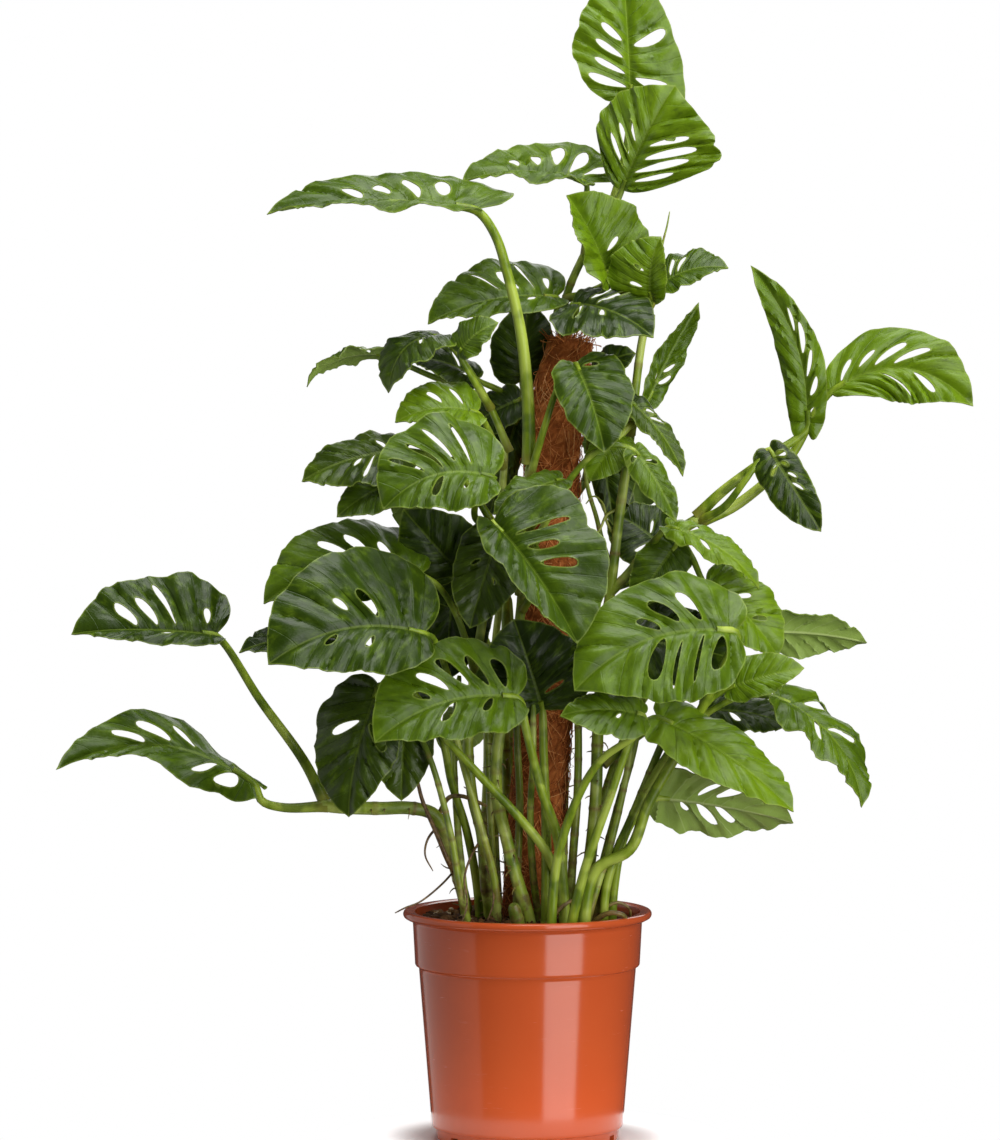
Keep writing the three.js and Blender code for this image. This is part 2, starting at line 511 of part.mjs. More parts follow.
    stalk: [[57, -30, 290], [86, -20, 312], [116, -20, 328]] },
  { name: "leaf_44", tone: "pale", base: [-8, -94, 346], tip: [-114, -128, 317], face: [-0.1, -0.85, 0.5],
    wide: [52, 34], arch: 8, bend: 10, hook: 4, fold: 4, wave: 4, holes: ["mmmms", ".s.m."],
    stalkRadius: 3.8,
    stalk: [[28, -56, 140], [27, -58, 195], [22, -62, 239], [10, -72, 275], [-2, -88, 324]] },
  { name: "leaf_45", tone: "dark", base: [-112, -58, 352], tip: [-138, -70, 254],
    face: [-0.3, -0.9, 0.25], wide: [40, 30], arch: 10, hook: 8, fold: -4, stalkRadius: 3.4,
    holes: ["..m..", ".mw.."],
    stalk: [[28, -48, 140], [26, -50, 190], [15, -57, 224], [-8, -61, 254], [-32, -64, 280],
      [-60, -64, 310], [-92, -60, 344]] },
  { name: "leaf_46", tone: "dark", base: [-237, -22, 388], tip: [-345, -42, 393], face: [0, -0.76, 0.65],
    wide: [47, 16], arch: 4, hook: 5, fold: 20, skew: [-0.08, 0], holes: ["s.nmm", "..s.."],
    stalkRadius: 2.6, stalk: [[-154, -27, 260], [-170, -27, 292], [-203, -25, 338]] },
  { name: "leaf_47", tone: "mid", base: [-209, -30, 277], tip: [-357, -48, 288], face: [0, -0.76, 0.65],
    wide: [29, 24], arch: 6, bend: 24, hook: 0, fold: -45, foldTip: 34, holes: ["s.mwm", "wm..."],
    stalkRadius: 2.8, stalk: [[-152, -30, 258], [-186, -30, 257], [-202, -30, 262]] },
  { name: "leaf_54", tone: "dark", base: [70, -56, 388], tip: [164, -74, 372], face: [0, -0.85, 0.5],
    wide: [34, 34], arch: 5, fold: 4, holes: [".....", "....."],
    stalk: [[59, -33, 396], [64, -44, 396]] },
  { name: "leaf_55", tone: "dark", base: [-42, -28, 425], tip: [-94, -42, 484], face: [-0.3, -0.9, 0.3],
    wide: [32, 32], arch: 4, fold: 3, holes: [".m...", ".m..."],
    stalk: [[-54, -36, 404], [-48, -30, 414]], joins: "leaf_28" },
  { name: "leaf_56", tone: "bright", base: [150, -84, 352], tip: [206, -94, 369], face: [0.1, -0.9, 0.4],
    wide: [14, 20], arch: 4, fold: 4, holes: [".....", "....."],
    stalk: [[119, -70, 313], [136, -78, 342]], joins: "leaf_34" },
  { name: "leaf_57", tone: "dark", base: [-93, -28, 344], tip: [-96, -34, 262], face: [0, -0.95, 0.2],
    wide: [26, 24], arch: 4, fold: 3, holes: [".....", "....."],
    stalk: [[-80, -50, 336], [-88, -38, 342]], joins: "leaf_45" },
  { name: "leaf_58", tone: "dark", base: [-56, -2, 446], tip: [-62, -12, 352], face: [0, -0.97, 0.2],
    wide: [34, 34], arch: 4, fold: 3, holes: [".....", "....."],
    stalk: [[-25, 49, 359], [-42, 24, 402]], joins: "leaf_49" },
  { name: "leaf_59", tone: "dark", base: [-7, 21, 554], tip: [-30, 13, 474], face: [0, -0.97, 0.2],
    wide: [26, 12], arch: 3, fold: 3, holes: [".....", "....."],
    stalk: [[-10, 24, 565]], joins: "leaf_14" },
  { name: "leaf_60", tone: "dark", base: [54, 6, 540], tip: [66, -2, 470], face: [0.1, -0.97, 0.2],
    wide: [12, 24], arch: 3, fold: 3, holes: [".....", "....."],
    stalk: [[45, 41, 502], [49, 24, 528]], joins: "leaf_50" },
  { name: "leaf_61", tone: "mid", base: [-96, -56, 508], tip: [-144, -72, 482], face: [0, -0.8, 0.6],
    wide: [18, 18], arch: 4, fold: 4, holes: [".....", "....."],
    stalk: [[-86, -47, 526], [-90, -52, 516]], joins: "leaf_26" },
  { name: "leaf_62", tone: "dark", base: [-4, 16, 580], tip: [0, 10, 641], face: [0, -0.97, 0.2],
    wide: [25, 26], arch: 3, fold: 3, holes: [".....", "....."], stalk: [[-1, 26, 570]],
    joins: "leaf_14" },
  { name: "leaf_63", tone: "mid", base: [112, -50, 458], tip: [80, -56, 412], face: [0, -0.9, 0.4],
    wide: [20, 20], arch: 4, fold: 4, holes: [".....", "....."], stalk: [[102, -37, 459], [108, -42, 460]],
    joins: "leaf_37" },
  { name: "leaf_48", tone: "mid", base: [62, 92, 396], tip: [104, 176, 340], face: [0.2, 0.5, 0.84],
    wide: [40, 38], arch: 10, holes: ["mw...", "....."], stalk: [[31, 36, 340], [42, 60, 376]] },
  { name: "leaf_49", tone: "mid", base: [-56, 92, 404], tip: [-112, 168, 352], face: [-0.2, 0.5, 0.84],
    wide: [38, 40], arch: 9, holes: ["..w..", ".w..."], stalk: [[-18, 36, 340], [-34, 64, 382]] },
  { name: "leaf_50", tone: "dark", base: [62, 76, 526], tip: [88, 150, 474], face: [0.4, 0.4, 0.82],
    wide: [34, 36], arch: 8, holes: [".w...", "....."], stalk: [[37, 33, 492], [56, 52, 516]] },
  { name: "leaf_51", tone: "bright", base: [-46, 84, 512], tip: [-98, 150, 460], face: [-0.3, 0.4, 0.86],
    wide: [36, 34], arch: 8, holes: [".....", ".wm.."], stalk: [[-14, 36, 480], [-26, 60, 500]] },
  { name: "leaf_52", tone: "bright", base: [6, 104, 452], tip: [14, 192, 396], face: [0, 0.5, 0.86],
    wide: [40, 40], arch: 10, holes: ["mw...", "..w.."], stalk: [[-15, 34, 426], [-2, 70, 446]] },
  { name: "leaf_53", tone: "mid", base: [-22, 96, 318], tip: [-58, 174, 276], face: [-0.2, 0.5, 0.84],
    wide: [34, 34], arch: 8, holes: [".....", ".m..."], stalk: [[-17, 36, 240], [-20, 64, 282]] },
];

// ---------------------------------------------------------------- pot, soil and pole

function lathe(profile, sides) {
  const geometry = new THREE.LatheGeometry(profile.map(([r, z]) => new THREE.Vector2(r, z)), sides);
  geometry.rotateX(Math.PI / 2);
  return toSolid(geometry);
}

function potSolid() {
  const inner = POT_BODY_BOTTOM_RADIUS - POT_WALL;
  const profile = [
    [0, 0], [POT_FOOT_RADIUS, 0], [POT_FOOT_RADIUS + 0.8, POT_FOOT_HEIGHT],
    [POT_BODY_BOTTOM_RADIUS, POT_FOOT_HEIGHT + 1.4], [POT_BODY_TOP_RADIUS, POT_COLLAR_BOTTOM - 2],
    [POT_COLLAR_RADIUS - 1.7, POT_COLLAR_BOTTOM + 0.6], [POT_COLLAR_RADIUS, POT_TOP - 7.5],
    [POT_LIP_RADIUS - 1.2, POT_TOP - 6.8], [POT_LIP_RADIUS, POT_TOP - 4.4], [POT_LIP_RADIUS - 1.4, POT_TOP],
    [POT_COLLAR_RADIUS + 1, POT_TOP - 0.4], [POT_COLLAR_RADIUS - POT_WALL, POT_TOP - 5],
    [POT_BODY_TOP_RADIUS - POT_WALL, POT_COLLAR_BOTTOM], [inner, POT_FOOT_HEIGHT + 5],
    [POT_FOOT_RADIUS - POT_WALL - 2, POT_FLOOR], [0, POT_FLOOR],
  ];
  let pot = lathe(profile, POT_SIDES);
  for (let i = 0; i < DRAIN_SLOTS; i += 1) {
    const slot = new THREE.BoxGeometry(...DRAIN_SLOT);
    slot.translate(POT_FOOT_RADIUS + 1, 0, 0.5);
    slot.rotateZ((2 * Math.PI * (i + 0.62)) / DRAIN_SLOTS);
    pot = pot.subtract(toSolid(slot));
  }
  return pot;
}

// The soil fills the pot. Its top is a little higher round the stems and lumpy all over.
function soilSolid(stems) {
  const wall = POT_WALL + GAP;
  const rings = [34, 62];
  const profile = [
    [0, POT_FLOOR + GAP], [POT_FOOT_RADIUS - wall - 3.4, POT_FLOOR + GAP],
    [POT_BODY_BOTTOM_RADIUS - wall - 0.4, POT_FOOT_HEIGHT + 6],
    [POT_BODY_TOP_RADIUS - wall - 0.4, POT_COLLAR_BOTTOM],
    [POT_COLLAR_RADIUS - wall - 2.6, SOIL_TOP - 4],
    ...rings.reverse().map((radius) => [radius, SOIL_TOP]), [0, SOIL_TOP + SOIL_MOUND],
  ];
  const geometry = new THREE.LatheGeometry(profile.map(([r, z]) => new THREE.Vector2(r, z)), SOIL_SIDES);
  geometry.rotateX(Math.PI / 2);
  const position = geometry.attributes.position;
  for (let i = 0; i < position.count; i += 1) {
    const [x, y, z] = [position.getX(i), position.getY(i), position.getZ(i)];
    if (z > SOIL_TOP - 1 && Math.hypot(x, y) > 1) {
      const lumps = 1.8 * Math.sin(x * 0.31 + 1) * Math.cos(y * 0.27);
      const slope = 1.2 * Math.sin(x * 0.11 - y * 0.17);
      position.setZ(i, z + lumps + slope);
    }
  }
  return stems.reduce((soil, stem) => soil.subtract(stem), toSolid(geometry));
}

// Where the pole's middle passes: it leans a little to +X.
const POLE = [[3, 0, 30], [3, 0, 120], [4, 0, 190], [11, 0, 291], [17, 0, 420], [21, 0, 543], [33, 0, 612]];

// The pole's coir is a lumpy sleeve of matted fibre round a wooden stake.
function coirSolid() {
  const sleeve = stemSolid(POLE, [COIR_RADIUS, COIR_TOP_RADIUS], COIR_SIDES, POLE_STEP);
  return sleeve.subtract(alongPole(STAKE_RADIUS + GAP));
}

function alongPole(radius) {
  const ends = [[3, 0, 10], [34, 0, 630]];
  return stemSolid([ends[0], ...POLE, ends[1]], [radius, radius], STAKE_SIDES, POLE_STEP);
}

// The stake starts level with the sleeve's foot, and ends a little below its ragged top.
function stakeSolid() {
  const block = new THREE.BoxGeometry(100, 100, STAKE_TOP - STAKE_BOTTOM);
  block.translate(0, 0, (STAKE_TOP + STAKE_BOTTOM) / 2);
  return alongPole(STAKE_RADIUS).intersect(toSolid(block));
}

function coirKeepOutSolid() {
  const [foot] = POLE;
  const places = [[foot[0], foot[1], foot[2] - GAP], ...POLE.slice(1)];
  return stemSolid(places, [COIR_RADIUS, COIR_TOP_RADIUS], COIR_SIDES, POLE_STEP, GAP);
}

// ---------------------------------------------------------------- assembly

function touches(a, b) {
  const [boxA, boxB] = [a.boundingBox(), b.boundingBox()];
  return [0, 1, 2].every((axis) => boxA.min[axis] < boxB.max[axis] && boxB.min[axis] < boxA.max[axis]);
}

function cutBy(solid, cutters) {
  const near = cutters.filter((cutter) => touches(solid, cutter));
  return near.reduce((rest, cutter) => rest.subtract(cutter), solid);
}

function vineSolid(name, extra = 0) {
  const { places, radius } = VINES[name];
  const shoots = SHOOTS.filter((shoot) => shoot.on === name);
  return shoots.reduce(
    (vine, shoot) => vine.add(stemSolid(shoot.places, shoot.radius, STALK_SIDES, VINE_STEP, extra)),
    stemSolid(places, radius, VINE_SIDES, VINE_STEP, extra),
  );
}

const plant = new THREE.Group();

function addPiece(name, solid, material) {
  const piece = new THREE.Mesh(toGeometry(solid), material);
  piece.name = name;
  plant.add(piece);
}

LEAVES.forEach((leaf) => {
  leaf.holeSides ??= 4;
});

const vineNames = Object.keys(VINES);
const coirKeepOut = coirKeepOutSolid();
const vineKeepOuts = vineNames.map((name) => vineSolid(name, GAP));
const stalks = LEAVES.map((leaf) => stalkSolid(leaf));
const stalkKeepOuts = LEAVES.map((leaf) => stalkSolid(leaf, GAP));

addPiece("pot", potSolid(), POT_FINISH);
addPiece("soil", soilSolid([coirKeepOut, ...vineKeepOuts, ...stalkKeepOuts]), SOIL_FINISH);
addPiece("pole_stake", stakeSolid(), STAKE_FINISH);
addPiece("pole_coir", coirSolid(), COIR_FINISH);
vineNames.forEach((name, i) => {
  const earlier = vineKeepOuts.slice(0, i);
  addPiece(name, largestBody(cutBy(vineSolid(name), [coirKeepOut, ...earlier])), VINE_FINISH);
});

const bladeKeepOuts = [];
const leafSolids = LEAVES.map((leaf, i) => {
  const isTwin = (other) => LEAVES[other].joins === leaf.name || LEAVES[other].name === leaf.joins;
  const otherStalks = stalkKeepOuts.filter((stalk, other) => other !== i && !isTwin(other));
  const blade = bladeSolid(leaf, BLADE);
  const cutBlade = cutBy(blade, [coirKeepOut, ...vineKeepOuts, ...otherStalks, ...bladeKeepOuts]);
  const stalk = cutBy(stalks[i], [coirKeepOut, ...vineKeepOuts]);
  bladeKeepOuts.push(bladeSolid(leaf, BLADE + 2 * BLADE_KEEP_OUT));
  return largestBody(cutBlade.add(stalk));
});
LEAVES.forEach((leaf, i) => {
  if (leaf.joins) {
    return;
  }
  const twins = leafSolids.filter((solid, other) => LEAVES[other].joins === leaf.name);
  const whole = twins.reduce((solid, twin) => solid.add(twin), leafSolids[i]);
  addPiece(leaf.name, largestBody(whole), LEAF_FINISHES[leaf.tone]);
});

export default plant;
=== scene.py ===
"""A swiss-cheese vine (Monstera adansonii) on a coir pole, rooted in a plastic nursery pot.

The solid parts come in as a fixed frame. Each one gets a finer piece in its place: blades with
veins and holes, stalks, vines with scars, a sleeve of loose fibre, crumbly soil and a glossy pot.
Layout values are in millimetres and meshes in metres, +Z up, origin under the middle of the pot.
"""

import math
import random

import bpy
import numpy as np
from bpy.props import FloatProperty, FloatVectorProperty, IntProperty, PointerProperty
from mathutils import Matrix, Vector
from mathutils.geometry import delaunay_2d_cdt


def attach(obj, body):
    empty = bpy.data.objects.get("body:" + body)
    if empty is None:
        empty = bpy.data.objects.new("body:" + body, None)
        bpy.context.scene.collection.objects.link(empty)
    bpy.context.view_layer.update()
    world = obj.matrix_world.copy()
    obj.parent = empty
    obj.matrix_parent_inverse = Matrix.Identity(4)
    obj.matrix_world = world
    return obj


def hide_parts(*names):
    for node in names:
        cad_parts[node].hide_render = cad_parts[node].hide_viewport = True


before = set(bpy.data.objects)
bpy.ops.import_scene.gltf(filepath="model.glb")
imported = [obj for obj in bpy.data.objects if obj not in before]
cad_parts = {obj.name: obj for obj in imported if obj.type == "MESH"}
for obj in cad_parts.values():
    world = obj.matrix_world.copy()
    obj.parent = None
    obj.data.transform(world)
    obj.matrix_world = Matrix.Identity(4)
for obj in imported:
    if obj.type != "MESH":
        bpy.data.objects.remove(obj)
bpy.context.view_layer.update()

bl_info = {
    "name": "Potted Swiss-Cheese Vine",
    "version": (1, 0, 0),
    "blender": (4, 5, 0),
    "location": "View3D > Sidebar > Vine",
    "description": "Models a swiss-cheese vine, its coir pole, soil and pot over their solid parts",
    "category": "Add Mesh",
}

MM = 0.001


# ---------------------------------------------------------------- layout of the vines

# The middle of each vine, from below the soil up, and its radius at both ends.
VINES = {
    "vine_front": ((5.2, 3.4), (
        (4, -36, 132), (3, -40, 164), (-9, -44, 207), (-17, -44, 238), (-23, -42, 265), (-23, -40, 301),
        (-16, -38, 340), (-8, -36, 385), (-3, -34, 431), (0, -33, 476), (1, -33, 518))),
    "vine_left": ((4.8, 2.8), (
        (-29, -14, 130), (-29, -16, 176), (-32, -22, 198), (-35, -26, 236), (-42, -26, 265),
        (-45, -26, 309), (-41, -24, 354), (-34, -20, 400), (-26, -16, 445), (-20, -12, 490),
        (-17, -9, 530))),
    "vine_runner": ((4.8, 5.2), (
        (-43, 10, 134), (-47, 4, 176), (-55, -6, 208), (-62, -14, 234), (-72, -20, 251),
        (-90, -24, 256), (-112, -27, 256), (-139, -29, 257), (-158, -30, 259))),
    "vine_right": ((5.2, 3), (
        (34, -22, 132), (35, -26, 174), (44, -30, 199), (49, -32, 232), (52, -33, 271), (53, -33, 309),
        (55, -33, 347), (59, -33, 392), (64, -34, 433), (69, -34, 476), (75, -32, 519), (79, -30, 551),
        (86, -24, 608), (93, -18, 640))),
    "vine_back_right": ((4, 3), (
        (27, 30, 132), (27, 32, 179), (28, 34, 256), (29, 34, 333), (31, 34, 411), (34, 32, 488),
        (36, 30, 549), (33, 28, 596), (28, 16, 636), (44, 7, 678), (56, 2, 698))),
    "vine_back_left": ((4, 3), (
        (-12, 28, 132), (-13, 30, 179), (-16, 33, 256), (-17, 34, 333), (-16, 34, 411), (-12, 33, 488),
        (-6, 31, 549), (2, 27, 596))),
}

# What else grew on a vine, as one piece with it: side shoots, young stems, roots and a cut stub.
# Each row has the vine, the radii at both ends, how brown it is, and its middle. The first five
# are in the solids too.
SHOOTS = (
    ("vine_right", (3.8, 4.6), 0.0, (
        (62, -34, 420), (78, -36, 437), (91, -35, 453), (106, -32, 463), (122, -29, 472),
        (134, -27, 479))),
    ("vine_front", (5.2, 5.0), 0.0, (
        (0, -42, 140), (-6, -51, 166), (-11, -57, 186))),
    ("vine_runner", (2.2, 1.4), 1.0, (
        (-50, -4, 196), (-60, -22, 214), (-69, -26, 236), (-80, -26, 262), (-84, -28, 278))),
    ("vine_runner", (0.9, 0.6), 1.0, (
        (-56, -6, 206), (-66, -14, 196), (-82, -22, 184), (-93, -26, 180), (-101, -27, 176))),
    ("vine_runner", (2.0, 1.4), 0.9, (
        (-68, -18, 250), (-60, -26, 264), (-50, -34, 266), (-38, -38, 262), (-31, -40, 259))),
    ("vine_right", (3.6, 2.6), 0.0, (
        (31, -14, 140), (34, -20, 210), (38, -22, 270), (38, -20, 330), (33, -17, 372))),
    ("vine_right", (1.7, 0.5), 0.0, (
        (93, -18, 640), (98, -28, 664), (102, -34, 686), (105, -36, 698), (107, -37, 709))),
    ("vine_right", (3.4, 2.6), 0.0, (
        (44, -28, 140), (54, -30, 200), (68, -32, 256), (80, -34, 300), (88, -38, 346))),
    ("vine_left", (3.0, 2.2), 0.1, (
        (-25, -8, 140), (-26, -8, 200), (-29, -8, 262), (-31, -8, 322), (-30, -10, 376))),
    ("vine_left", (3.2, 2.2), 0.0, (
        (-44, -20, 140), (-48, -30, 190), (-54, -16, 250), (-56, -12, 310), (-52, -10, 356))),
    ("vine_right", (3.2, 2.4), 0.0, (
        (42, -10, 140), (46, -12, 214), (60, -8, 270), (78, -4, 318), (98, -8, 352))),
    ("vine_right", (3.6, 2.8), 0.0, (
        (46, -40, 140), (60, -42, 206), (80, -44, 254), (100, -50, 304), (118, -58, 346))),
    ("vine_right", (3.0, 2.2), 0.0, (
        (38, -46, 140), (50, -51, 190), (64, -50, 236), (76, -44, 290), (84, -50, 352))),
    ("vine_left", (3.2, 2.2), 0.0, (
        (-36, -24, 140), (-50, -36, 188), (-58, -42, 236), (-72, -44, 290), (-86, -36, 322))),
    ("vine_left", (3.4, 2.4), 0.1, (
        (-22, -28, 140), (-25, -38, 200), (-36, -50, 246), (-50, -54, 296), (-58, -52, 330))),
    ("vine_front", (3.4, 2.4), 0.2, (
        (-8, -30, 140), (-8, -32, 200), (-6, -34, 262), (-8, -32, 322), (-4, -26, 364))),
    ("vine_front", (3.0, 2.2), 0.0, (
        (16, -32, 140), (6, -36, 190), (2, -50, 250), (4, -62, 300), (4, -64, 338))),
    ("vine_back_right", (3.6, 2.8), 0.1, (
        (20, 26, 140), (6, 38, 210), (-16, 45, 270), (-36, 48, 330), (-40, 56, 372))),
    ("vine_back_left", (3.4, 2.6), 0.1, (
        (-24, 22, 140), (-33, 23, 210), (-31, 22, 290), (-32, 28, 372))),
    ("vine_back_left", (3.4, 2.6), 0.0, (
        (-6, 50, 140), (-9, 54, 220), (-12, 54, 300), (-12, 53, 370), (-14, 54, 412))),
    ("vine_back_left", (3.6, 2.8), 0.1, (
        (-20, 52, 140), (-25, 60, 220), (-26, 64, 300), (-25, 65, 370), (-21, 64, 408))),
    ("vine_right", (2.2, 1.4), 0.0, (
        (63, -31, 440), (57, -25, 458), (52, -22, 478), (46, -20, 498), (43, -18, 516))),
    ("vine_right", (1.3, 0.6), 0.3, (
        (67, -32, 462), (60, -32, 474), (57, -33, 488), (50, -32, 494), (44, -33, 488))),
    ("vine_right", (1.3, 0.6), 0.3, (
        (69, -32, 484), (60, -34, 480), (54, -36, 468), (48, -34, 464), (42, -34, 470))),
    ("vine_right", (2.6, 1.4), 0.75, (
        (46, -44, 164), (54, -56, 176), (63, -60, 180), (72, -58, 178), (76, -50, 170))),
    ("vine_right", (1.8, 0.9), 0.75, (
        (42, -38, 164), (56, -44, 180), (68, -44, 186), (77, -40, 181), (78, -32, 172))),
    ("vine_front", (2.4, 1.2), 0.9, (
        (8, -50, 162), (17, -60, 174), (25, -62, 184), (33, -58, 189), (36, -48, 184))),
    ("vine_left", (1.2, 0.5), 1.0, (
        (-32, -22, 236), (-42, -32, 222), (-48, -38, 204), (-46, -42, 184), (-52, -46, 166))),
    ("vine_left", (1.1, 0.5), 1.0, (
        (-34, -24, 216), (-28, -34, 204), (-26, -40, 186), (-32, -42, 168))),
    ("vine_runner", (1.2, 0.5), 1.0, (
        (-66, -18, 244), (-76, -22, 232), (-78, -24, 220), (-72, -26, 208))),
)

# The middle of the pole: it leans a little to +X.
POLE = ((3, 0, 30), (3, 0, 120), (4, 0, 190), (11, 0, 291), (17, 0, 420), (21, 0, 543), (33, 0, 612))


# ---------------------------------------------------------------- layout of the leaves

def leaf(name, **shape):
    """A leaf's row.

    base and tip are the midrib's ends, face is the way that its upper face looks, and wide its right
    and left half width. arch, bend and hook are how far the midrib rises, swings to the right and
    drops at its tip. fold and fold_tip are how steeply the halves rise from it, in degrees, cup and
    wave how far a margin drops and ripples, and skew how far each half is drawn towards the tip.
    stalk is the stalk's middle from its vine on, and joins the leaf whose piece it belongs to.
    """
    usual = dict(arch=6, bend=0, hook=4, fold=12, cup=4, wave=2, skew=(0, 0), holes=("", ""),
                 stalk_radius=2.5, joins=None)
    row = {**usual, "name": name, **shape}
    row.setdefault("fold_tip", row["fold"])
    return row


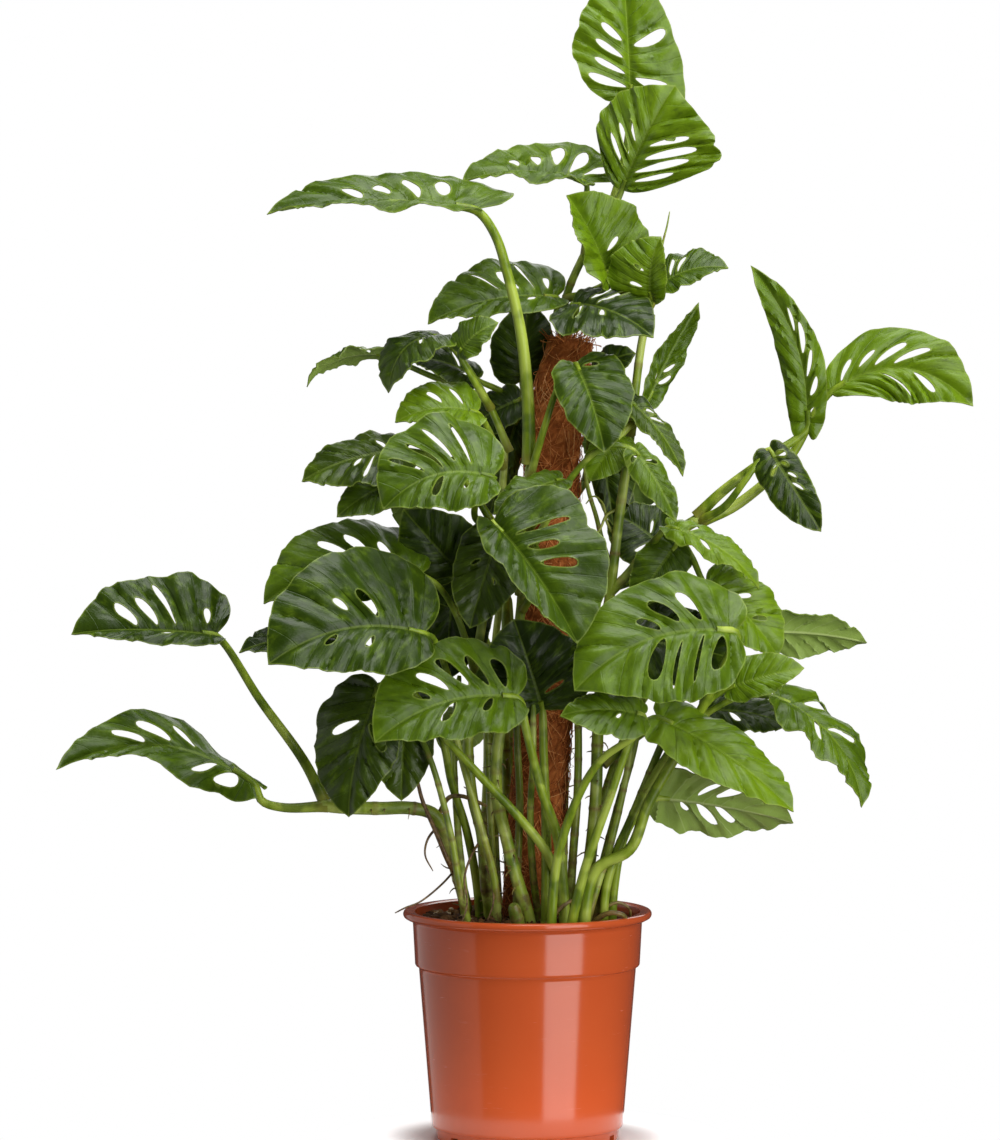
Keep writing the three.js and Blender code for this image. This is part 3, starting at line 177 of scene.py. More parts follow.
LEAVES = (
    leaf("leaf_01", tone="mid", base=(79, 12, 796), tip=(73, 22, 893), face=(0.1, -1, 0.1), wide=(41, 42),
         arch=4, hook=-4, fold=6, skew=(-0.48, 0.08), holes=(".w.l.", "lmmm."),
         stalk=((58, 2, 699), (66, 8, 722), (74, 18, 752), (78, 20, 780))),
    leaf("leaf_02", tone="mid", base=(71, -8, 725), tip=(108, -30, 804), face=(-0.2, -0.9, 0.3),
         wide=(60, 40), arch=4, hook=8, fold=4, skew=(0.5, 0.3), holes=("mwwm.", ".mms."),
         stalk=((58, -1, 696), (64, -6, 708))),
    leaf("leaf_03", tone="mid", base=(44, -4, 731), tip=(-50, -20, 735), face=(0, -0.46, 0.89),
         wide=(40, 12), arch=8, fold=24, skew=(-0.55, 0), fold_tip=8, holes=("mmmss", ".s..."),
         stalk=((44, 7, 677), (45, 4, 700), (44, 0, 718))),
    leaf("leaf_04", tone="mid", base=(-39, -46, 711), tip=(-196, -62, 712), face=(0, -0.45, 0.89),
         wide=(34, 13), arch=7, hook=5, fold=19, skew=(-0.24, 0.1), holes=(".mmss", "..s.."),
         stalk_radius=4,
         stalk=((1, -33.5, 518.6), (0, -39, 567), (-5, -43, 616), (-15, -45, 661), (-25, -47, 692))),
    leaf("leaf_05", tone="bright", base=(62, -18, 658), tip=(32, -34, 722), face=(0.5, -0.8, 0.3),
         wide=(42, 26), arch=3, fold=30, wave=4, holes=("m.s..", "....."),
         stalk=((29, 14, 643), (44, -2, 647))),
    leaf("leaf_06", tone="bright", base=(93, -36, 644), tip=(98, -44, 690), face=(-0.5, -0.8, 0.2),
         wide=(16, 36), arch=5, fold=16, holes=(".....", ".s.s."),
         stalk=((90, -22, 626), (91, -30, 636))),
    leaf("leaf_07", tone="mid", base=(101, -8, 654), tip=(152, -14, 668), face=(0, -0.6, 0.8),
         wide=(15, 25), arch=6, hook=2, fold=8, holes=(".....", ".mm.."),
         stalk=((91, -30, 636), (98, -18, 646)), joins="leaf_06"),
    leaf("leaf_08", tone="dark", base=(34, -22, 639), tip=(94, -66, 618), face=(0.05, -0.64, 0.76),
         wide=(38, 33), arch=7, fold=5, holes=(".m.s.", ".ml.."),
         stalk=((32, 20, 622), (37, 6, 634), (35, -10, 639))),
    leaf("leaf_09", tone="pale", base=(92, 10, 565), tip=(133, 16, 639), face=(0.6, -0.7, 0.35),
         wide=(13, 13), arch=-5, fold=28, wave=1, holes=(".ms..", ".s..."),
         stalk=((78, -26, 551), (84, -6, 552))),
    leaf("leaf_10", tone="mid", base=(22, -2, 644), tip=(-76, -28, 626), face=(0.05, -0.6, 0.8),
         wide=(43, 20), arch=10, hook=2, fold=8, skew=(-0.12, 0), holes=("snmn.", ".s..."),
         stalk=((31, 25, 604), (22, 14, 628))),
    leaf("leaf_11", tone="dark", base=(-66, -26, 615), tip=(-108, -52, 577), face=(-0.4, -0.5, 0.78),
         wide=(26, 28), arch=14, hook=6, fold=2, holes=(".....", "..s.."),
         stalk=((-14, -9, 527), (-28, -16, 560), (-45, -20, 590))),
    leaf("leaf_12", tone="pale", base=(-108, -6, 600), tip=(-170, -18, 582), face=(0, 0.3, 0.95),
         wide=(18, 22), arch=8, hook=6, fold=6, holes=(".....", ".w..."),
         stalk=((-5, 30, 552), (-40, 18, 570), (-76, 4, 585))),
    leaf("leaf_13", tone="mid", base=(-52, -44, 603), tip=(-24, -50, 627), face=(-0.2, -0.8, 0.55),
         wide=(12, 18), arch=4, fold=4,
         stalk=((-28, -16, 560), (-40, -32, 580)), joins="leaf_11"),
    leaf("leaf_14", tone="dark", base=(-38, 4, 582), tip=(-92, -8, 600), face=(0, -0.6, 0.8),
         wide=(20, 20), arch=5, fold=8, holes=("..m..", ".s..."), stalk=((-4, 28, 560), (-20, 16, 572))),
    leaf("leaf_15", tone="mid", base=(211, -32, 546), tip=(167, -46, 668), face=(-0.3, -0.9, 0.2),
         wide=(16, 17), arch=4, bend=15, hook=3, fold=6, stalk_radius=3.2, holes=("smmwm", "....."),
         stalk=((128, -27, 478), (146, -30, 496), (180, -32, 522))),
    leaf("leaf_16", tone="bright", base=(229, -20, 572), tip=(337, -34, 563), face=(0.1, -0.95, 0.25),
         wide=(27, 32), arch=5, bend=-23, hook=4, fold=5, skew=(0.3, 0.2), stalk_radius=3.2,
         holes=("..n.w", "ssmm."),
         stalk=((129, -22, 473), (160, -12, 487), (199, -12, 522), (217, -15, 554))),
    leaf("leaf_17", tone="dark", base=(182, -52, 530), tip=(221, -58, 468), face=(-0.2, -0.9, 0.3),
         wide=(20, 15), arch=4, fold=6, stalk_radius=2.6, holes=(".s...", "msss."),
         stalk=((130, -28, 475), (148, -44, 486), (164, -53, 507))),
    leaf("leaf_18", tone="bright", base=(36, -60, 595), tip=(58, -88, 530), face=(0.05, -0.8, 0.6),
         wide=(24, 34), arch=9, hook=4, fold=6, holes=(".....", "s...."),
         stalk=((1, -33, 506), (12, -52, 545), (24, -58, 580))),
    leaf("leaf_19", tone="dark", base=(52, -34, 585), tip=(80, -38, 604), face=(-0.2, -0.75, 0.6),
         wide=(16, 16), arch=5, fold=10, holes=(".m...", ".m..."),
         stalk=((36, 29, 575), (48, 8, 575), (52, -20, 578))),
    leaf("leaf_20", tone="dark", base=(76, -44, 567), tip=(119, -60, 512), face=(0.4, -0.7, 0.6),
         wide=(11, 13), arch=6, fold=6, holes=(".....", ".mm.."), stalk=((78, -34, 541), (80, -42, 555))),
    leaf("leaf_21", tone="mid", base=(80, -66, 530), tip=(112, -84, 478), face=(0.15, -0.85, 0.5),
         wide=(14, 12), arch=5, fold=6, holes=("m....", ".m..."),
         stalk=((0, -33, 468), (24, -56, 498), (50, -66, 528), (66, -68, 534))),
    leaf("leaf_22", tone="bright", base=(70, -46, 540), tip=(46, -62, 508), face=(-0.1, -0.9, 0.4),
         wide=(16, 18), arch=3, fold=5, stalk=((80, -39, 550), (75, -43, 546)),
         joins="leaf_20"),
    leaf("leaf_23", tone="bright", base=(-38, -50, 558), tip=(-100, -62, 554), face=(0, -0.6, 0.8),
         wide=(32, 24), arch=7, fold=8, holes=(".m.m.", "....."),
         stalk=((-19, -11, 515), (-27, -30, 538))),
    leaf("leaf_24", tone="pale", base=(-26, -112, 512), tip=(-108, -128, 490), face=(-0.1, -0.84, 0.53),
         wide=(52, 32), arch=9, bend=10, hook=4, fold=2, wave=3, holes=(".nnnn", ".d.m."),
         stalk=((-24, -16, 465), (-40, -60, 480), (-34, -98, 502))),
    leaf("leaf_25", tone="mid", base=(26, -62, 508), tip=(-26, -92, 486), face=(0, -0.6, 0.8),
         wide=(18, 16), arch=4, fold=4,
         stalk=((3, -36, 455), (14, -52, 476), (24, -60, 498))),
    leaf("leaf_26", tone="dark", base=(-92, -48, 530), tip=(-171, -60, 509), face=(0, -0.7, 0.72),
         wide=(22, 32), arch=6, fold=8, holes=(".s...", "..ns."),
         stalk=((-25, -14, 470), (-50, -34, 508), (-76, -46, 526))),
    leaf("leaf_27", tone="dark", base=(-6, 4, 566), tip=(-50, 14, 540), face=(-0.1, -0.8, 0.6),
         wide=(20, 18), arch=4, fold=4, stalk=((-14, 20, 568), (-9, 11, 567)),
         joins="leaf_14"),
    leaf("leaf_28", tone="mid", base=(-80, -56, 436), tip=(-199, -78, 420), face=(-0.1, -0.62, 0.78),
         wide=(53, 36), arch=15, bend=4, hook=6, fold=6, holes=(".smm.", "....."),
         stalk=((-40, -24, 360), (-54, -36, 404), (-68, -48, 427))),
    leaf("leaf_29", tone="mid", base=(-77, -104, 395), tip=(-192, -140, 376), face=(-0.12, -0.92, 0.37),
         wide=(62, 38), arch=8, bend=12, hook=5, fold=5, wave=3, holes=("..sd.", "..d.s"),
         stalk=((-46, -30, 316), (-58, -44, 352), (-70, -84, 388))),
    leaf("leaf_30", tone="dark", base=(-142, -58, 388), tip=(-218, -66, 381), face=(0, -0.55, 0.83),
         wide=(20, 20), arch=5, fold=6, stalk_radius=3, holes=(".s...", "..s.."),
         stalk=((-36, -4, 140), (-38, -8, 190), (-47, -16, 240), (-58, -26, 276), (-66, -36, 312),
                (-90, -44, 350), (-118, -54, 378))),
    leaf("leaf_31", tone="dark", base=(-22, -52, 468), tip=(-44, -66, 396), face=(0, -0.95, 0.3),
         wide=(26, 26), arch=4, fold=5, holes=("..d..", ".d.d."),
         stalk=((-6, -37, 420), (-12, -46, 448))),
    leaf("leaf_32", tone="mid", base=(-26, -102, 478), tip=(38, -126, 390), face=(0.4, -0.85, 0.35),
         wide=(28, 60), arch=7, hook=4, fold=24, holes=(".....", ".nsm."),
         stalk=((-4, -38, 408), (10, -60, 436), (0, -88, 466))),
    leaf("leaf_33", tone="dark", base=(11, -56, 334), tip=(-10, -66, 402), face=(0, -0.95, 0.3),
         wide=(44, 46), arch=5, hook=6, fold=6, holes=(".s...", "....."), stalk_radius=3.8,
         stalk=((14, -46, 140), (14, -50, 240), (12, -52, 300))),
    leaf("leaf_34", tone="bright", base=(154, -104, 396), tip=(34, -128, 355), face=(-0.06, -0.9, 0.42),
         wide=(47, 56), arch=9, bend=14, hook=4, fold=2, wave=3, holes=(".mms.", "wnnw."),
         stalk_radius=4.2,
         stalk=((40, -58, 140), (51, -62, 212), (77, -66, 229), (91, -68, 264), (119, -70, 313),
                (145, -92, 368))),
    leaf("leaf_35", tone="bright", base=(134, -64, 430), tip=(190, -70, 376), face=(0.2, -0.8, 0.55),
         wide=(24, 32), arch=7, fold=4, holes=(".....", "..s.s"),
         stalk=((112, -36, 466), (124, -52, 448))),
    leaf("leaf_36", tone="pale", base=(172, -22, 390), tip=(258, -26, 384), face=(0.1, 0.75, 0.6),
         wide=(22, 24), arch=4, hook=2, fold=6, holes=(".s...", "....."),
         stalk=((58, -31, 372), (100, -28, 360), (140, -24, 372))),
    leaf("leaf_37", tone="bright", base=(106, -62, 472), tip=(176, -76, 430), face=(0.2, -0.6, 0.77),
         wide=(15, 16), arch=9, hook=6, fold=6, holes=("..m..", ".s..."),
         stalk=((91, -35, 453), (98, -54, 464))),
    leaf("leaf_38", tone="dark", base=(104, 14, 452), tip=(64, 26, 480), face=(0, -0.8, 0.6),
         wide=(26, 30), arch=5, fold=4, holes=("..s..", ".m..."),
         stalk=((63, -30, 424), (84, -14, 430), (98, 4, 442))),
    leaf("leaf_39", tone="pale", base=(187, -62, 344), tip=(254, -78, 264), face=(0.45, -0.5, 0.74),
         wide=(28, 28), arch=8, bend=-12, fold=4, wave=4, holes=("..m..", ".w.m."), stalk_radius=3,
         stalk=((58, -46, 140), (60, -50, 200), (84, -52, 262), (120, -56, 318), (160, -60, 344))),
    leaf("leaf_40", tone="mid", base=(97, -92, 331), tip=(200, -110, 264), face=(0.25, -0.7, 0.66),
         wide=(30, 28), arch=8, hook=4, fold=4, stalk_radius=3.6,
         stalk=((26, -66, 140), (42, -80, 212), (60, -88, 266), (80, -92, 318))),
    leaf("leaf_41", tone="pale", base=(97, -34, 265), tip=(202, -38, 248), face=(0, 0.72, 0.7),
         wide=(38, 34), arch=3, hook=2, fold=2, holes=("..mw.", ".swm."), stalk_radius=3.4,
         stalk=((64, -20, 140), (66, -26, 196), (76, -32, 240))),
    leaf("leaf_42", tone="pale", base=(86, -110, 334), tip=(24, -124, 337), face=(0.1, -0.75, 0.65),
         wide=(18, 24), arch=6, fold=4, holes=(".....", "..s.."), stalk_radius=3.4,
         stalk=((16, -62, 140), (24, -74, 230), (52, -94, 296), (80, -102, 318), (87, -105, 327))),
    leaf("leaf_43", tone="dark", base=(134, -22, 330), tip=(200, -26, 321), face=(0, -0.6, 0.8),
         wide=(24, 24), arch=5, fold=5, stalk_radius=3.2, holes=("..m..", "....."),
         stalk=((57, -30, 290), (86, -20, 312), (116, -20, 328))),
    leaf("leaf_44", tone="pale", base=(-8, -94, 346), tip=(-114, -128, 317), face=(-0.1, -0.85, 0.5),
         wide=(52, 34), arch=8, bend=10, hook=4, fold=4, wave=4, holes=("mmmms", ".s.m."),
         stalk_radius=3.8,
         stalk=((28, -56, 140), (27, -58, 195), (22, -62, 239), (10, -72, 275), (-2, -88, 324))),
    leaf("leaf_45", tone="dark", base=(-112, -58, 352), tip=(-138, -70, 254), face=(-0.3, -0.9, 0.25),
         wide=(40, 30), arch=10, hook=8, fold=-4, stalk_radius=3.4, holes=("..m..", ".mw.."),
         stalk=((28, -48, 140), (26, -50, 190), (15, -57, 224), (-8, -61, 254), (-32, -64, 280),
                (-60, -64, 310), (-92, -60, 344))),
    leaf("leaf_46", tone="dark", base=(-237, -22, 388), tip=(-345, -42, 393), face=(0, -0.76, 0.65),
         wide=(47, 16), arch=4, hook=5, fold=20, skew=(-0.08, 0), holes=("s.nmm", "..s.."),
         stalk_radius=2.6, stalk=((-154, -27, 260), (-170, -27, 292), (-203, -25, 338))),
    leaf("leaf_47", tone="mid", base=(-209, -30, 277), tip=(-357, -48, 288), face=(0, -0.76, 0.65),
         wide=(29, 24), arch=6, bend=24, hook=0, fold=-45, fold_tip=34, holes=("s.mwm", "wm..."),
         stalk_radius=2.8, stalk=((-152, -30, 258), (-186, -30, 257), (-202, -30, 262))),
    leaf("leaf_54", tone="dark", base=(70, -56, 388), tip=(164, -74, 372), face=(0, -0.85, 0.5),
         wide=(34, 34), arch=5, fold=4, stalk=((59, -33, 396), (64, -44, 396))),
    leaf("leaf_55", tone="dark", base=(-42, -28, 425), tip=(-94, -42, 484), face=(-0.3, -0.9, 0.3),
         wide=(32, 32), arch=4, fold=3, holes=(".m...", ".m..."),
         stalk=((-54, -36, 404), (-48, -30, 414)), joins="leaf_28"),
    leaf("leaf_56", tone="bright", base=(150, -84, 352), tip=(206, -94, 369), face=(0.1, -0.9, 0.4),
         wide=(14, 20), arch=4, fold=4,
         stalk=((119, -70, 313), (136, -78, 342)), joins="leaf_34"),
    leaf("leaf_57", tone="dark", base=(-93, -28, 344), tip=(-96, -34, 262), face=(0, -0.95, 0.2),
         wide=(26, 24), arch=4, fold=3,
         stalk=((-80, -50, 336), (-88, -38, 342)), joins="leaf_45"),
    leaf("leaf_58", tone="dark", base=(-56, -2, 446), tip=(-62, -12, 352), face=(0, -0.97, 0.2),
         wide=(34, 34), arch=4, fold=3, stalk=((-25, 49, 359), (-42, 24, 402)),
         joins="leaf_49"),
    leaf("leaf_59", tone="dark", base=(-7, 21, 554), tip=(-30, 13, 474), face=(0, -0.97, 0.2),
         wide=(26, 12), arch=3, fold=3, stalk=((-10, 24, 565),),
         joins="leaf_14"),
    leaf("leaf_60", tone="dark", base=(54, 6, 540), tip=(66, -2, 470), face=(0.1, -0.97, 0.2),
         wide=(12, 24), arch=3, fold=3, stalk=((45, 41, 502), (49, 24, 528)),
         joins="leaf_50"),
    leaf("leaf_61", tone="mid", base=(-96, -56, 508), tip=(-144, -72, 482), face=(0, -0.8, 0.6),
         wide=(18, 18), arch=4, fold=4,
         stalk=((-86, -47, 526), (-90, -52, 516)), joins="leaf_26"),
    leaf("leaf_62", tone="dark", base=(-4, 16, 580), tip=(0, 10, 641), face=(0, -0.97, 0.2),
         wide=(25, 26), arch=3, fold=3, stalk=((-1, 26, 570),), joins="leaf_14"),
    leaf("leaf_63", tone="mid", base=(112, -50, 458), tip=(80, -56, 412), face=(0, -0.9, 0.4),
         wide=(20, 20), arch=4, fold=4,
         stalk=((102, -37, 459), (108, -42, 460)), joins="leaf_37"),
    leaf("leaf_48", tone="mid", base=(62, 92, 396), tip=(104, 176, 340), face=(0.2, 0.5, 0.84),
         wide=(40, 38), arch=10, holes=("mw...", "....."), stalk=((31, 36, 340), (42, 60, 376))),
    leaf("leaf_49", tone="mid", base=(-56, 92, 404), tip=(-112, 168, 352), face=(-0.2, 0.5, 0.84),
         wide=(38, 40), arch=9, holes=("..w..", ".w..."), stalk=((-18, 36, 340), (-34, 64, 382))),
    leaf("leaf_50", tone="dark", base=(62, 76, 526), tip=(88, 150, 474), face=(0.4, 0.4, 0.82),
         wide=(34, 36), arch=8, holes=(".w...", "....."), stalk=((37, 33, 492), (56, 52, 516))),
    leaf("leaf_51", tone="bright", base=(-46, 84, 512), tip=(-98, 150, 460), face=(-0.3, 0.4, 0.86),
         wide=(36, 34), arch=8, holes=(".....", ".wm.."), stalk=((-14, 36, 480), (-26, 60, 500))),
    leaf("leaf_52", tone="bright", base=(6, 104, 452), tip=(14, 192, 396), face=(0, 0.5, 0.86),
         wide=(40, 40), arch=10, holes=("mw...", "..w.."), stalk=((-15, 34, 426), (-2, 70, 446))),
    leaf("leaf_53", tone="mid", base=(-22, 96, 318), tip=(-58, 174, 276), face=(-0.2, 0.5, 0.84),
         wide=(34, 34), arch=8, holes=(".....", ".m..."), stalk=((-17, 36, 240), (-20, 64, 282))),
)

# How much stouter than its solid a stalk is, where it stands free of the others.
STOUT = {"leaf_04": 1.1, "leaf_15": 1.15, "leaf_16": 1.15, "leaf_46": 1.4, "leaf_47": 1.25}

# Half of a blade's outline, as shares of the midrib's length and of that half's width, from the
# stalk round the basal lobe to the tip, and the side veins' roots and ends on it.
HALF_OUTLINE = (
    (0, 0), (-0.055, 0.25), (-0.04, 0.55), (0.05, 0.83), (0.2, 0.98), (0.37, 1),
    (0.54, 0.93), (0.7, 0.77), (0.83, 0.53), (0.93, 0.24), (1, 0))
OUTLINE_SPANS = len(HALF_OUTLINE) - 1
VEIN_ROOTS = (0, 0.03, 0.11, 0.21, 0.33, 0.46, 0.61, 1)
VEIN_ENDS = (0, 2.8, 4.3, 5.35, 6.3, 7.2, 8.1, OUTLINE_SPANS)
LOBE_VEIN_END = (-0.13, 0.6)

# A hole starts and ends at these shares of the way from midrib to margin, and its half width
# takes this share of the space between two veins. A leaf's row has a letter for each space, from
# the stalk to the tip, the right half first, and a dot where there is no hole.
HOLES = {"s": (0.12, 0.46, 0.22), "m": (0.12, 0.66, 0.26), "l": (0.1, 0.84, 0.24),
         "w": (0.12, 0.74, 0.36), "n": (0.12, 0.8, 0.12), "d": (0.3, 0.5, 0.16)}
HOLE_SIDES = 18

# Where along the midrib a blade's fold goes over to that of its tip, and the ripple of each half:
# how fast it turns along the blade, and where it starts.
FOLD_TURN = (0.15, 0.55)
RIPPLE = 5 * math.pi
RIPPLE_START = (0.5, 2.1)

# The small waves of a margin: how deep, as a share of the half width, and how fast they turn.
RUFFLES = ((0.022, 1.9), (0.018, 3.7), (0.012, 6.3), (0.006, 11))

# A blade's mesh: how many places half a margin has, how far apart the rows of its grid are and how
# far it keeps from margin and holes, as shares of its spacing, and what counts as the same place.
MARGIN_PLACES = 60
ROW_STEP, RIM_GAP = 0.87, 0.55
SAME_PLACE = 1e-5

# A blade shorter than this has lower relief. The groove along the midrib: how deep and how wide.
FULL_RELIEF_LENGTH = 90
GROOVE_DEPTH, GROOVE_WIDTH = 1.1, 2.0

# A stalk's mesh, and where on the midrib, as shares of its length, its end lies.
STALK_STEP, STALK_SIDES = 4.0, 10
STALK_END = (-0.01, 0.1)

# How light each kind of leaf is, from 0, shaded and old, to 1, young; the dark end is partly painted
# shade for leaves deep in the plant. The second table holds how much lighter or darker than its kind a
# leaf is: partly its own colour and partly painted light and shade, for how it is lit where it hangs.
TONES = {"dark": 0.1, "mid": 0.42, "bright": 0.72, "pale": 0.5}
TONE_AND_LIGHT_SHIFTS = {
    "leaf_01": 0.3, "leaf_02": 0.3, "leaf_15": 0.25, "leaf_18": -0.45, "leaf_24": -0.05,
    "leaf_28": 0.1, "leaf_29": -0.22, "leaf_32": -0.15, "leaf_34": -0.2, "leaf_39": -0.05,
    "leaf_40": 0.32, "leaf_46": 0.1}


# ---------------------------------------------------------------- small helpers

def srgb(red, green, blue):
    """A colour given in 0 to 255 as the eye sees it, as linear light with alpha."""
    def linear(value):
        value /= 255
        return value / 12.92 if value <= 0.04045 else ((value + 0.055) / 1.055) ** 2.4
    return (linear(red), linear(green), linear(blue), 1.0)


def unit(vectors):
    """Rows of vectors, each made one long."""
    return vectors / np.maximum(np.linalg.norm(vectors, axis=-1, keepdims=True), 1e-12)


def smoothstep(low, high, values):
    """0 below low, 1 above high, and a smooth step between them."""
    share = np.clip((values - low) / (high - low), 0, 1)
    return share * share * (3 - 2 * share)


def smooth_curve(points, shares):
    """Places on the centripetal Catmull-Rom curve through the points, at shares of its spans."""
    given = np.asarray(points, float)
    padded = np.vstack([2 * given[0] - given[1], given, 2 * given[-1] - given[-2]])
    reach = np.asarray(shares, float) * (len(given) - 1)
    span = np.minimum(reach.astype(int), len(given) - 2)
    part = (reach - span)[:, None]
    before, start, end, after = (padded[span + k] for k in range(4))
    gaps = [np.maximum(np.sqrt(np.linalg.norm(b - a, axis=1, keepdims=True)), 1e-6)
            for a, b in ((before, start), (start, end), (end, after))]
    first = ((start - before) / gaps[0] - (end - before) / (gaps[0] + gaps[1]) + (end - start) / gaps[1])
    last = ((end - start) / gaps[1] - (after - start) / (gaps[1] + gaps[2]) + (after - end) / gaps[2])
    first, last = first * gaps[1], last * gaps[1]
    bow = 3 * (end - start) - 2 * first - last
    twist = 2 * (start - end) + first + last
    return start + part * (first + part * (bow + part * twist))


def places_at(wanted, lengths, places):
    """The places at the wanted lengths along a line of places."""
    return np.stack([np.interp(wanted, lengths, places[:, axis]) for axis in range(3)], axis=1)


def even_curve(points, step):
    """Evenly spaced places on the smooth curve through the points, and their lengths along it."""
    fine = smooth_curve(points, np.linspace(0, 1, 40 * len(points)))
    lengths = np.concatenate([[0], np.cumsum(np.linalg.norm(np.diff(fine, axis=0), axis=1))])
    count = max(4, round(lengths[-1] / step) + 1)
    wanted = np.linspace(0, lengths[-1], count)
    return places_at(wanted, lengths, fine), wanted


def deselect():
    bpy.ops.object.select_all(action="DESELECT")


def select(piece):
    """Makes the piece the only one selected, and the active one."""
    deselect()
    piece.select_set(True)
    bpy.context.view_layer.objects.active = piece


def apply_modifier(piece, kind, **settings):
    """Adds a modifier and applies it."""
    select(piece)
    modifier = piece.modifiers.new(kind.title(), kind)
    for name, value in settings.items():
        setattr(modifier, name, value)
    bpy.ops.object.modifier_apply(modifier=modifier.name)


def mesh_piece(name, places, faces, surfaces, values, uv=None):
    """A mesh object from places in metres, with its materials, named vertex values and UV map."""
    mesh = bpy.data.meshes.new(name)
    mesh.from_pydata([tuple(place) for place in places], [], [tuple(face) for face in faces])
    piece = bpy.data.objects.new(name, mesh)
    bpy.context.scene.collection.objects.link(piece)
    for surface in surfaces:
        mesh.materials.append(surface)
    if uv is not None:
        corners = np.empty(len(mesh.loops), int)
        mesh.loops.foreach_get("vertex_index", corners)
        layer = mesh.uv_layers.new(name="surface")
        layer.data.foreach_set("uv", np.asarray(uv, np.float32)[corners].ravel())
    for key, numbers in values.items():
        attribute = mesh.attributes.new(key, "FLOAT", "POINT")
        attribute.data.foreach_set("value", np.asarray(numbers, np.float32))
    return piece


def smooth(piece, degrees=50):
    """Smooth shading, with edges sharper than the angle kept crisp."""
    select(piece)
    bpy.ops.object.shade_smooth_by_angle(angle=math.radians(degrees))


def point_faces_out(piece):
    """Turns all faces of a closed mesh outwards."""
    select(piece)
    bpy.ops.object.mode_set(mode="EDIT")
    bpy.ops.mesh.select_all(action="SELECT")
    bpy.ops.mesh.normals_make_consistent(inside=False)
    bpy.ops.object.mode_set(mode="OBJECT")


def join(name, pieces):
    """Joins pieces into one."""
    deselect()
    for piece in pieces:
        piece.select_set(True)
    bpy.context.view_layer.objects.active = pieces[0]
    bpy.ops.object.join()
    joined = bpy.context.view_layer.objects.active
    joined.name = name
    return joined


def place_on_frame(piece, slot, *nodes):
    """The piece stands for the CAD nodes and moves with the pot."""
    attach(piece, "root")
    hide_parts(*nodes)


def sweep(places, radii, sides):
    """Vertices and faces of a closed round tube along the places, its rings in order."""
    places = np.asarray(places, float)
    radii = np.broadcast_to(np.asarray(radii, float), (len(places),))
    ahead = unit(np.gradient(places, axis=0))
    side = np.cross(ahead[0], (0, 0, 1))
    if np.linalg.norm(side) < 0.1:
        side = np.cross(ahead[0], (0, 1, 0))
    angles = np.arange(sides) * 2 * math.pi / sides
    vertices = []
    for place, way, radius in zip(places, ahead, radii):
        side = unit(side - way * (side @ way))
        other = np.cross(way, side)
        ring = np.cos(angles)[:, None] * side + np.sin(angles)[:, None] * other
        vertices.append(place + radius * ring)
    faces = []
    for ring in range(len(places) - 1):
        for corner in range(sides):
            following = (corner + 1) % sides
            low, high = ring * sides, (ring + 1) * sides
            faces.append((low + corner, low + following, high + following, high + corner))
    faces.append(tuple(reversed(range(sides))))
    faces.append(tuple(range((len(places) - 1) * sides, len(places) * sides)))
    return np.concatenate(vertices), faces


def gather(parts):
    """The vertices and faces of many small parts, as those of one mesh."""
    vertices, faces = [], []
    count = 0
    for corners, around in parts:
        faces += [tuple(count + corner for corner in face) for face in around]
        vertices.append(corners)
        count += len(corners)
    return np.concatenate(vertices), faces


# ---------------------------------------------------------------- shader maths

class Value:
    """A shader socket that Python's operators work on: each one adds its Math node."""

    def __init__(self, shader, socket):
        self.shader = shader
        self.socket = socket

    def __add__(self, other):
        return self.shader.math("ADD", self, other)

    __radd__ = __add__

    def __mul__(self, other):
        return self.shader.math("MULTIPLY", self, other)

    __rmul__ = __mul__

    def __sub__(self, other):
        return self.shader.math("SUBTRACT", self, other)

    def __rsub__(self, other):
        return self.shader.math("SUBTRACT", other, self)

    def __abs__(self):
        return self.shader.math("ABSOLUTE", self)


